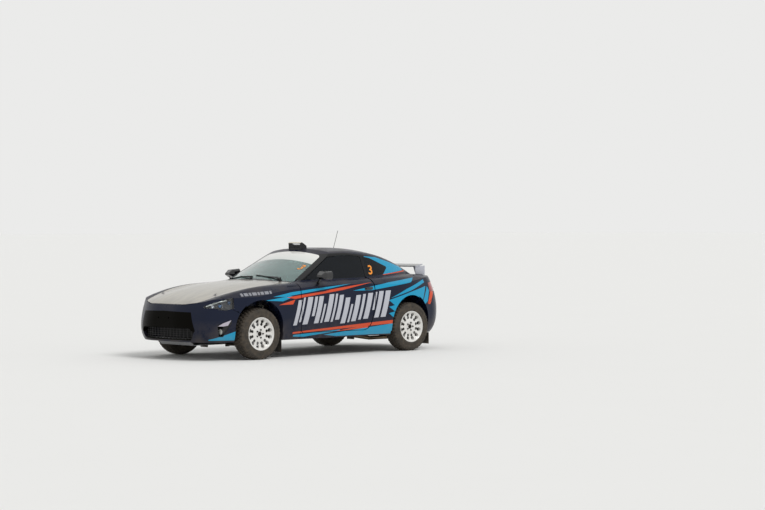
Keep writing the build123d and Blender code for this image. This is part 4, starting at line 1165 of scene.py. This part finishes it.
def dress_seat(side):
    y = SIDES[side] * SEAT_Y
    low, high = SEAT_BACK
    slope = (high - low).normalized()
    forward = Vector((-slope.z, 0, slope.x))
    seat_pad(
        f"seat_base_{side}", (-0.065, y, 0.396), (1, 0, -0.03), (0, 0, 1),
        (0.150, 0.150, 0.017), 0.012, (-0.4, 0.1, 0.55),
    )
    middle = low.lerp(high, 0.42) + forward * 0.020 + Vector((0, y, 0))
    seat_pad(
        f"seat_back_{side}", middle, slope, forward, (0.205, 0.120, 0.016), 0.012, (-0.6, -0.2, 0.2, 0.6)
    )
    head = low.lerp(high, 0.955) + forward * 0.020 + Vector((0, y, 0))
    seat_pad(f"seat_head_{side}", head, slope, forward, HEAD_PAD, 0.012, ())
    for mark, turn in (("inner", -1), ("outer", 1)):
        wall = y + turn * 0.152
        thigh = (-0.055, wall, 0.430)
        seat_pad(f"seat_thigh_{mark}_{side}", thigh, (1, 0, 0.02), (0, -turn, 0.35), THIGH_PAD, 0.010, ())
        rib = low.lerp(high, 0.42) + forward * 0.042 + Vector((0, wall, 0))
        facing = Vector((0, -turn, 0)) + forward * 0.5
        seat_pad(f"seat_rib_{mark}_{side}", rib, slope, facing, RIB_PAD, 0.010, ())
    belts = bmesh.new()
    buckle = Vector((-0.02, y, 0.470))
    for turn in (-1, 1):
        path = [Vector((x, y + turn * 0.048, z)) for x, z in ((0.415, 0.905), (0.355, 0.912))]
        for share, ahead, aside in SHOULDER_BELT:
            path.append(low.lerp(high, share) + forward * ahead + Vector((0, y + turn * aside, 0)))
        path.append(buckle + Vector((0.03, turn * 0.02, 0.004)))
        ribbon(belts, path, (0, 1, 0), (-0.8, 0, 0.6))
        lap = [(x, y + turn * aside, z) for x, aside, z in LAP_BELT]
        ribbon(belts, lap + [buckle + Vector((0.0, turn * 0.03, 0))], (1, 0, 0.25), (0, 0, 1))
    ribbon(belts, [(-0.20, y, 0.422), (-0.12, y, 0.440), buckle], (0, 1, 0), (0, 0, 1))
    piece(f"harness_{side}", closed(belts), "body", "seat_fabric", belt_webbing, 40)
    lock = bmesh.new()
    drum(lock, buckle + Vector((0, 0, -0.004)), buckle + Vector((0, 0, 0.010)), 0.031, 0.029, 32)
    drum(lock, buckle + Vector((0, 0, 0.010)), buckle + Vector((0, 0, 0.015)), 0.019, 0.015, 24)
    lever = (Vector((-0.006, -0.026, 0.010)), Vector((0.006, 0.026, 0.014)))
    rounded_box(lock, buckle + lever[0], buckle + lever[1], 0.001, 1)
    piece(f"harness_lock_{side}", lock, "body", "steel", steel, 35)


for side in SIDES:
    dress_seat(side)

HUB = Vector((-0.225, SEAT_Y, 0.855))
COLUMN_UP = Vector((cos(radians(22)), 0, sin(radians(22))))
WHEEL_TOP = COLUMN_UP.cross(Vector((0, 1, 0))).normalized()
HUB_PROFILE = (
    (-0.026, 0), (-0.026, 0.038), (-0.022, 0.041), (-0.018, 0.038), (-0.018, 0.022), (-0.010, 0.020),
    (-0.008, 0.016), (-0.008, 0),
)
# The orange band round the rim's top: the rim's radius, the band's own radius, its points and its half-angle.
RIM_R = 0.165
MARK_R = 0.0148
MARK_STEPS = 16
MARK_TURN = 0.06
hub = bmesh.new()
spun(hub, HUB_PROFILE, HUB, COLUMN_UP, 40)
for i in range(6):
    turn = tau / 6 * (i + 0.5)
    aside = Vector((0, 1, 0)) * cos(turn) + WHEEL_TOP * sin(turn)
    foot = HUB + aside * 0.030 - COLUMN_UP * 0.019
    drum(hub, foot, foot + COLUMN_UP * 0.005, 0.0036, segments=6)
piece("steering_hub", closed(hub), "steering_wheel", "steel", dark_steel, 35)
mark = bmesh.new()
verts = []
for k in range(MARK_STEPS):
    turn = tau * k / MARK_STEPS
    place = HUB + COLUMN_UP * (MARK_R * sin(turn)) + WHEEL_TOP * (RIM_R + MARK_R * cos(turn))
    verts.append(mark.verts.new(place))
edges = [mark.edges.new((verts[i], verts[(i + 1) % MARK_STEPS])) for i in range(MARK_STEPS)]
bmesh.ops.rotate(mark, verts=verts, cent=HUB, matrix=Matrix.Rotation(-MARK_TURN, 3, COLUMN_UP))
bmesh.ops.spin(mark, geom=verts + edges, cent=HUB, axis=COLUMN_UP, angle=2 * MARK_TURN, steps=6)
bmesh.ops.holes_fill(mark, edges=mark.edges)
piece("steering_top_mark", closed(mark), "steering_wheel", "leather", number_paint, 60)

panel = bmesh.new()
rounded_box(panel, (-0.394, 0.262, 0.868), (-0.380, 0.428, 0.934), 0.005, 3)
rounded_box(panel, (-0.425, -0.452, 0.852), (-0.385, -0.292, 0.918), 0.006, 3)
piece("display_housings", panel, "body", "dash_plastic", gloss_black, 35)
screens = bmesh.new()
rounded_box(screens, (-0.3805, 0.274, 0.878), (-0.3788, 0.416, 0.926), 0.001, 1)
rounded_box(screens, (-0.3855, -0.442, 0.862), (-0.3838, -0.302, 0.908), 0.001, 1)
piece("display_screens", screens, "body", "dash_plastic", display_glass, 35)
switches = bmesh.new()
SWITCH_UP = Vector((0.86, 0, 0.51))
for row in range(3):
    for column in range(5):
        foot = Vector((-0.386 + 0.016 * row, (column - 2) * 0.032, 0.617 - 0.027 * row))
        drum(switches, foot - SWITCH_UP * 0.004, foot + SWITCH_UP * 0.004, 0.0075, 0.0068, 16)
        tip = foot + SWITCH_UP * 0.018 + Vector((0, 0, 0.003))
        drum(switches, foot + SWITCH_UP * 0.003, tip, 0.0022, 0.0032, 12)
piece("console_switches", switches, "body", "steel", steel, 35)
VENT_RING = (
    (-0.008, 0), (-0.008, 0.034), (0.008, 0.034), (0.010, 0.031),
    (0.008, 0.028), (-0.004, 0.027), (-0.004, 0),
)
VANE_HALF = Vector((0.0035, 0.026, 0.0012))
vents = bmesh.new()
for y in (-0.52, -0.16, 0.16, 0.52):
    centre = Vector((-0.398, y, 0.792))
    spun(vents, VENT_RING, centre, (1, 0, 0.12), 32)
    for k in range(-2, 3):
        middle = centre + Vector((VANE_HALF.x, 0, k * 0.010))
        rounded_box(vents, middle - VANE_HALF, middle + VANE_HALF, 0.0008, 1)
piece("air_vents", closed(vents), "body", "dash_plastic", gloss_black, 35)
for side, outward in SIDES.items():
    card = bmesh.new()
    inside_door = surface_of(f"door_{side}")
    draped_panel(
        card, (-0.46, 0.40), (0.52, 0.86), (20, 9), (0, 0, 0), (0, -outward, 0), inside_door, 0.004, 0.0005
    )
    piece(f"door_card_{side}", card, f"door_{side}", "dash_plastic", dash_plastic, 35)
    pull = bmesh.new()
    y = outward * 0.640
    inner, outer = sorted((y, y + outward * 0.05))
    for x in (0.10, 0.26):
        rounded_box(pull, (x - 0.010, inner, 0.742), (x + 0.010, outer, 0.762), 0.003)
    rounded_box(pull, (0.085, y - 0.003, 0.738), (0.275, y + 0.003, 0.766), 0.0025)
    piece(f"door_pull_{side}", pull, f"door_{side}", "seat_fabric", belt_webbing, 35)


# Engine bay: a flat-four engine in place of the plain block, what is bolted to it, and the panels around it.
BLOCK_LOW, BLOCK_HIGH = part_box("engine_block")
CRANK_Z = 0.42
CYLINDER_X = (-1.38, -1.20)
FIRST_X, LAST_X = CYLINDER_X
TURRET = Vector((-1.241, 0.590, 0.803))
FRONT_AXLE = Vector((-1.275, 0, 0.317))
ARCH_R = 0.352
RAIL_TOP = 0.503
PULLEYS = ((0.0, CRANK_Z, 0.066), (0.135, 0.585, 0.030), (-0.125, 0.570, 0.052))
PULLEY_X = (BLOCK_LOW.x + 0.004, BLOCK_LOW.x + 0.026)
BELT_STEPS = 64
ARCH_LINER_Y = (-0.475, -0.56, -0.64, -0.690)
# An intake runner's line, from the plenum to the cylinder head, as (distance from the middle, height).
RUNNER = ((0.080, 0.648), (0.130, 0.652), (0.180, 0.640), (0.200, 0.590), (0.200, 0.505))


def build_engine_case(mesh):
    """Crankcase, two banks of ribbed cylinders, and a timing cover at the front."""
    rounded_box(mesh, (BLOCK_LOW.x + 0.06, -0.135, BLOCK_LOW.z), (BLOCK_HIGH.x, 0.135, 0.585), 0.012, 3)
    cover = BLOCK_LOW.x + 0.032
    rounded_box(mesh, (cover, -0.105, BLOCK_LOW.z + 0.02), (cover + 0.030, 0.105, 0.560), 0.008, 3)
    for turn in (-1, 1):
        inner, outer = sorted((turn * 0.130, turn * 0.205))
        rounded_box(mesh, (FIRST_X - 0.075, inner, 0.335), (LAST_X + 0.075, outer, 0.515), 0.010, 3)
        for i in range(14):
            x = FIRST_X - 0.065 + 0.024 * i
            rounded_box(mesh, (x, inner, 0.328), (x + 0.006, outer, 0.522), 0.002, 1)
    for i in range(9):
        x = BLOCK_LOW.x + 0.10 + 0.045 * i
        rounded_box(mesh, (x, -0.120, 0.580), (x + 0.007, 0.120, 0.594), 0.002, 1)
    for i in range(12):
        turn = tau / 12 * i
        foot = Vector((BLOCK_LOW.x + 0.034, 0.090 * cos(turn), 0.44 + 0.105 * sin(turn)))
        drum(mesh, foot, foot - Vector((0.008, 0, 0)), 0.006, segments=6)


def build_cam_cover(mesh):
    """A cover over one bank's heads, with a bolted rim and a plug lead boot for each cylinder."""
    rounded_box(mesh, (FIRST_X - 0.085, -0.250, 0.325), (LAST_X + 0.085, -0.205, 0.525), 0.014, 4)
    for x in CYLINDER_X:
        drum(mesh, (x, -0.215, 0.500), (x, -0.215, 0.556), 0.016, 0.011, 20)
        for bolt_x in (x - 0.045, x + 0.045):
            drum(mesh, (bolt_x, -0.228, 0.518), (bolt_x, -0.228, 0.532), 0.007, segments=6)


def build_plenum(mesh):
    """The chamber over the engine, with ribs along its top and a clamped throat at its front."""
    rounded_box(mesh, (FIRST_X - 0.04, -0.095, 0.618), (LAST_X + 0.05, 0.095, 0.688), 0.020, 4)
    for i in range(7):
        y = -0.072 + 0.024 * i
        rounded_box(mesh, (FIRST_X - 0.02, y - 0.003, 0.684), (LAST_X + 0.03, y + 0.003, 0.693), 0.002, 1)
    drum(mesh, (FIRST_X - 0.035, 0, 0.652), (FIRST_X - 0.085, 0, 0.652), 0.036, segments=32)
    drum(mesh, (FIRST_X - 0.060, 0, 0.652), (FIRST_X - 0.068, 0, 0.652), 0.044, segments=32)


def build_pulleys(mesh):
    """Grooved pulleys on the engine's front, with the alternator and the pump behind two of them."""
    front, back = PULLEY_X
    for y, z, radius in PULLEYS:
        profile = [(front, 0), (front, radius * 0.9), (front, radius), (back, radius), (back, 0)]
        for k in range(4):
            groove = front + 0.003 + 0.0045 * k
            profile[3 + 2 * k:3 + 2 * k] = [(groove, radius), (groove + 0.002, radius - 0.003)]
        spun(mesh, [(x - front, r) for x, r in profile], Vector((front, y, z)), (1, 0, 0), 40)
        drum(mesh, (front - 0.002, y, z), (front + 0.004, y, z), 0.012, segments=6)
    for (y, z, _), radius, length in zip(PULLEYS[1:], (0.058, 0.046), (0.105, 0.085)):
        drum(mesh, (back + 0.002, y, z), (back + 0.020, y, z), radius * 0.86, radius, 32)
        drum(mesh, (back + 0.020, y, z), (back + length, y, z), radius, segments=32)
        for i in range(14):
            turn = tau / 14 * i
            rib = Vector((0, radius * cos(turn), radius * sin(turn)))
            start = Vector((back + 0.026, y, z)) + rib
            drum(mesh, start, start + Vector((length - 0.036, 0, 0)), 0.003, segments=6)


def hull_of(points):
    """The convex outline round flat points, by walking them from left to right and back."""
    outline = []
    for run in (sorted(points), sorted(points, reverse=True)):
        side = []
        for point in run:
            while len(side) > 1:
                (ax, ay), (bx, by) = side[-2], side[-1]
                if (bx - ax) * (point[1] - ay) - (by - ay) * (point[0] - ax) > 0:
                    break
                side.pop()
            side.append(point)
        outline += side[:-1]
    return outline


def build_belt(mesh):
    """A ribbed belt drawn tight round the pulleys."""
    around = []
    for y, z, radius in PULLEYS:
        for i in range(BELT_STEPS):
            turn = tau / BELT_STEPS * i
            around.append((y + (radius + 0.005) * cos(turn), z + (radius + 0.005) * sin(turn)))
    start = PULLEY_X[0] + 0.002
    face = mesh.faces.new([mesh.verts.new((start, y, z)) for y, z in hull_of(around)])
    face.normal_update()
    rim = bmesh.ops.inset_region(
        mesh, faces=[face], thickness=0.004, use_boundary=True, use_even_offset=True
    )["faces"]
    bmesh.ops.delete(mesh, geom=[face], context="FACES_ONLY")
    made = bmesh.ops.extrude_face_region(mesh, geom=rim)["geom"]
    bmesh.ops.translate(mesh, verts=[v for v in made if isinstance(v, bmesh.types.BMVert)], vec=(0.019, 0, 0))


def build_fan(mesh, y):
    """An electric fan: a shroud ring, a motor on three arms and nine pitched blades."""
    centre = Vector((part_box("radiator")[1].x + 0.022, y, 0.425))
    ring = [(-0.016, 0.152), (0.014, 0.146), (0.016, 0.149), (-0.014, 0.156)]
    spun(mesh, ring + ring[:1], centre, (1, 0, 0), 64)
    drum(mesh, centre - Vector((0.012, 0, 0)), centre + Vector((0.026, 0, 0)), 0.042, 0.036, 32)
    for i in range(9):
        turn = tau / 9 * i
        outward, aside = Vector((0, cos(turn), sin(turn))), Vector((0, -sin(turn), cos(turn)))
        root, tip = centre + outward * 0.038, centre + outward * 0.138
        pitch = aside * 0.024 + Vector((0.012, 0, 0))
        blade = [root - pitch * 0.7, tip - pitch, tip + pitch, root + pitch * 0.7]
        plate_of(mesh, blade, outward.cross(pitch) * 0.08)
    for i in range(3):
        turn = tau / 3 * (i + 0.25)
        outward = Vector((0, cos(turn), sin(turn)))
        foot = centre + outward * 0.03 + Vector((0.020, 0, 0))
        drum(mesh, foot, centre + outward * 0.150, 0.006, segments=8)


def build_arch_liner(mesh):
    """A moulded liner over the front wheel."""
    steps = 20
    arc = [radians(42 + 96 * i / steps) for i in range(steps + 1)]
    rows = []
    for y in ARCH_LINER_Y:
        radius = ARCH_R + (0.010 if y in ARCH_LINER_Y[1:3] else 0.0)
        places = [FRONT_AXLE + Vector((radius * cos(a), y, radius * sin(a))) for a in arc]
        rows.append([mesh.verts.new(place) for place in places])
    for near, far in zip(rows, rows[1:]):
        for i in range(steps):
            mesh.faces.new((near[i], near[i + 1], far[i + 1], far[i]))
    bmesh.ops.recalc_face_normals(mesh, faces=mesh.faces)
    mesh.normal_update()
    bmesh.ops.solidify(mesh, geom=mesh.faces[:], thickness=0.003)


def build_turret(mesh):
    """The strut's turret: a tapered pressing with a rolled top."""
    foot = Vector((TURRET.x, -TURRET.y, 0.0))
    walls = [
        (0.655, 0.096), (0.700, 0.088), (0.782, 0.082), (0.800, 0.072), (0.803, 0.040),
        (0.800, 0.040), (0.797, 0.070), (0.780, 0.079), (0.700, 0.085), (0.655, 0.093),
    ]
    spun(mesh, walls + walls[:1], foot, (0, 0, 1), 48)


def build_top_mount(mesh):
    """The strut's bearing plate on the turret, with its three nuts."""
    foot = Vector((TURRET.x, -TURRET.y, TURRET.z))
    plate = [(0.0, 0), (0.0, 0.050), (0.005, 0.050), (0.006, 0.030), (0.012, 0.022), (0.012, 0)]
    spun(mesh, plate, foot, (0, 0, 1), 40)
    for i in range(3):
        turn = tau / 3 * i
        bolt = foot + Vector((0.042 * cos(turn), 0.042 * sin(turn), 0.004))
        drum(mesh, bolt, bolt + Vector((0, 0, 0.010)), 0.007, segments=6)


def build_brace(mesh):
    """A tube between the turrets, with a foot clamped under each bearing plate."""
    end = TURRET + Vector((0, -0.075, 0.022))
    drum(mesh, (end.x, -end.y, end.z), end, 0.0135, segments=24)
    for turn in (-1, 1):
        near, far = (Vector((end.x, turn * (end.y + reach), end.z)) for reach in (-0.03, 0.012))
        drum(mesh, near, far, 0.019, segments=24)
        inner, outer = sorted((turn * (end.y - 0.004), turn * (end.y + 0.024)))
        low, high = (end.x - 0.022, inner, TURRET.z + 0.001), (end.x + 0.022, outer, end.z + 0.006)
        rounded_box(mesh, low, high, 0.003)


def build_battery(mesh):
    rounded_box(mesh, (-1.72, -0.475, RAIL_TOP), (-1.53, -0.315, 0.672), 0.008, 3)
    rounded_box(mesh, (-1.722, -0.477, 0.655), (-1.528, -0.313, 0.680), 0.006, 3)
    for y in (-0.435, -0.355):
        drum(mesh, (-1.56, y, 0.675), (-1.56, y, 0.694), 0.009, 0.008, 20)
    rounded_box(mesh, (-1.632, -0.482, RAIL_TOP), (-1.618, -0.308, 0.686), 0.003)


def build_air_box(mesh):
    rounded_box(mesh, (-1.83, 0.300, RAIL_TOP), (-1.63, 0.470, 0.640), 0.014, 3)
    rounded_box(mesh, (-1.836, 0.294, 0.636), (-1.624, 0.476, 0.650), 0.004, 2)
    rounded_box(mesh, (-1.82, 0.306, 0.648), (-1.64, 0.464, 0.690), 0.018, 4)
    for i in range(6):
        x = -1.80 + 0.026 * i
        rounded_box(mesh, (x, 0.316, 0.686), (x + 0.007, 0.454, 0.696), 0.002, 1)


def build_tank(mesh, x, y, radius, top):
    """A plastic reservoir with a screw cap."""
    cap = radius * 0.5
    profile = [(RAIL_TOP, 0), (RAIL_TOP, radius), (top - 0.03, radius), (top - 0.012, radius * 0.75)]
    profile += [(top - 0.01, cap), (top, cap), (top, 0)]
    spun(mesh, profile, Vector((x, y, 0)), (0, 0, 1), 36)


case = bmesh.new()
build_engine_case(case)
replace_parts(piece("engine_case", case, "body", "aluminium", aluminium, 35), "engine_block")
mirrored_pair("cam_cover", build_cam_cover, "body", "black_plastic", dark_steel, sharp=35)
for name, build, slot, finish in (
    ("intake_plenum", build_plenum, "black_plastic", crinkle_paint),
    ("engine_pulleys", build_pulleys, "steel", steel),
    ("drive_belt", build_belt, "flap_rubber", hose_rubber),
    ("strut_brace", build_brace, "aluminium", aluminium),
    ("battery", build_battery, "black_plastic", black_plastic),
    ("air_box", build_air_box, "black_plastic", black_plastic),
):
    made = bmesh.new()
    build(made)
    piece(name, closed(made), "body", slot, finish, 35)
for name, *size in (
    ("brake_fluid_tank", -0.86, 0.425, 0.036, 0.62),
    ("coolant_tank", -0.92, -0.425, 0.048, 0.66),
):
    made = bmesh.new()
    build_tank(made, *size)
    piece(name, closed(made), "body", "black_plastic", cream_paint, 35)
fans = bmesh.new()
for y in (-0.168, 0.168):
    build_fan(fans, y)
piece("radiator_fans", closed(fans), "body", "black_plastic", black_plastic, 35)
mirrored_pair("arch_liner", build_arch_liner, "body", "black_plastic", black_plastic)
mirrored_pair("strut_turret", build_turret, "body", "body_paint", body_paint)
mirrored_pair("strut_top_mount", build_top_mount, "body", "steel", steel, merged=True)
for i, x in enumerate(CYLINDER_X):
    for side, outward in SIDES.items():
        runner = [(x, outward * reach, z) for reach, z in RUNNER]
        tube(f"intake_runner_{side}_{i + 1}", runner, 0.021, "body", "aluminium", aluminium)
for name, radius, line in (
    ("air_duct", 0.034, (
        (-1.455, 0, 0.652), (-1.50, 0, 0.655), (-1.57, 0.03, 0.668), (-1.62, 0.14, 0.675),
        (-1.66, 0.24, 0.668), (-1.68, 0.32, 0.665),
    )),
    ("radiator_hose", 0.018, (
        (-1.872, -0.27, 0.565), (-1.82, -0.27, 0.580), (-1.72, -0.20, 0.620), (-1.60, -0.08, 0.630),
        (-1.53, -0.03, 0.600), (-1.49, -0.03, 0.570),
    )),
):
    tube(name, line, radius, "body", "flap_rubber", hose_rubber)


# Spoiler end plates: from the blade's underside down to just above the boot lid.
def build_end_plate(mesh):
    blade_low, blade_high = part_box("rear_spoiler")
    y = blade_low.y + 0.004
    stations = [blade_low.x + 0.006 + (blade_high.x - blade_low.x - 0.012) * i / 6 for i in range(7)]
    lower = []
    for x in stations:
        hit, _, _, _ = lid_surface.ray_cast(Vector((x, y, 1.5)), Vector((0, 0, -1)))
        lower.append(Vector((x, y, hit.z + 0.008)))
    upper = [Vector((x, y, 1.083 + 0.10 * (x - blade_low.x))) for x in stations]
    plate_of(mesh, lower + upper[::-1], Vector((0, 0.006, 0)))
    edges = [e for e in mesh.edges if e.calc_face_angle(0) > 1]
    bmesh.ops.bevel(mesh, geom=edges, offset=0.0015, segments=2, profile=0.5, affect="EDGES", material=-1)


mirrored_pair("spoiler_end_plate", build_end_plate, "boot_lid", "body_paint", spoiler_paint, merged=True)


# Studio: a pale floor under a soft sun and an even sky, and the same pale tone for everything far away.
STUDIO_TONE = 0.83
SKY_LIGHT = 0.62
SUN_STRENGTH = 1.5
SUN_TURN = (radians(38), radians(-14), radians(20))
FLOOR_REACH = 400


def build_stage():
    mesh = bmesh.new()
    bmesh.ops.create_grid(mesh, x_segments=1, y_segments=1, size=FLOOR_REACH)
    data = bpy.data.meshes.new("studio_floor")
    mesh.to_mesh(data)
    mesh.free()
    floor = bpy.data.objects.new("studio_floor", data)
    bpy.context.scene.collection.objects.link(floor)
    finish = Finish("studio_floor_paint", (STUDIO_TONE, STUDIO_TONE, STUDIO_TONE * 0.985, 1), 0.9)
    shade = finish.span(finish.noise(0.8, 3), 0.3, 0.7, 0, 0.03)
    finish.colour(finish.mix(shade, (STUDIO_TONE, STUDIO_TONE, STUDIO_TONE * 0.985, 1), (0.7, 0.69, 0.67, 1)))
    data.materials.append(finish.material)


def build_lights():
    world = bpy.data.worlds.new("studio_world")
    bpy.context.scene.world = world
    world.use_nodes = True
    tree = world.node_tree
    background = tree.nodes["Background"]
    path = tree.nodes.new("ShaderNodeLightPath")
    seen = tree.nodes.new("ShaderNodeMath")
    seen.operation = "MAXIMUM"
    tree.links.new(path.outputs["Is Camera Ray"], seen.inputs[0])
    tree.links.new(path.outputs["Is Transmission Ray"], seen.inputs[1])
    glossy = tree.nodes.new("ShaderNodeMath")
    glossy.operation = "MAXIMUM"
    tree.links.new(seen.outputs[0], glossy.inputs[0])
    tree.links.new(path.outputs["Is Glossy Ray"], glossy.inputs[1])
    strength = tree.nodes.new("ShaderNodeMapRange")
    strength.inputs["To Min"].default_value = SKY_LIGHT
    strength.inputs["To Max"].default_value = STUDIO_TONE
    tree.links.new(glossy.outputs[0], strength.inputs["Value"])
    tree.links.new(strength.outputs[0], background.inputs["Strength"])
    background.inputs["Color"].default_value = (1, 1, 0.99, 1)
    lamp = bpy.data.lights.new("soft_sun", "SUN")
    lamp.energy = SUN_STRENGTH
    lamp.angle = radians(25)
    sun = bpy.data.objects.new("soft_sun", lamp)
    sun.rotation_euler = SUN_TURN
    bpy.context.scene.collection.objects.link(sun)


# Camera, as fitted to the wheels in the photograph: place in metres, focal length and picture width in
# pixels, and the sensor's width in millimetres.
CAMERA_PLACE = Vector((-17.18, -19.727, 1.623))
CAMERA_YAW = radians(-43.577)
CAMERA_PITCH = radians(0.8)
CAMERA_ROLL = radians(-0.118)
FOCAL_PIXELS = 2015.6
IMAGE_WIDTH = 765
SENSOR = 36


def build_camera():
    back = Vector(
        (sin(CAMERA_YAW) * cos(CAMERA_PITCH), -cos(CAMERA_YAW) * cos(CAMERA_PITCH), sin(CAMERA_PITCH))
    )
    level = Vector((cos(CAMERA_YAW), sin(CAMERA_YAW), 0))
    upright = back.cross(level)
    right = level * cos(CAMERA_ROLL) + upright * sin(CAMERA_ROLL)
    up = upright * cos(CAMERA_ROLL) - level * sin(CAMERA_ROLL)
    lens = bpy.data.cameras.new("camera")
    lens.sensor_width = SENSOR
    lens.lens = FOCAL_PIXELS * SENSOR / IMAGE_WIDTH
    lens.clip_end = 1000
    camera = bpy.data.objects.new("camera", lens)
    camera.matrix_world = Matrix((right, up, back)).transposed().to_4x4()
    camera.location = CAMERA_PLACE
    bpy.context.scene.collection.objects.link(camera)
    bpy.context.scene.camera = camera


build_stage()
build_lights()
build_camera()
bpy.context.scene.view_settings.view_transform = "Standard"
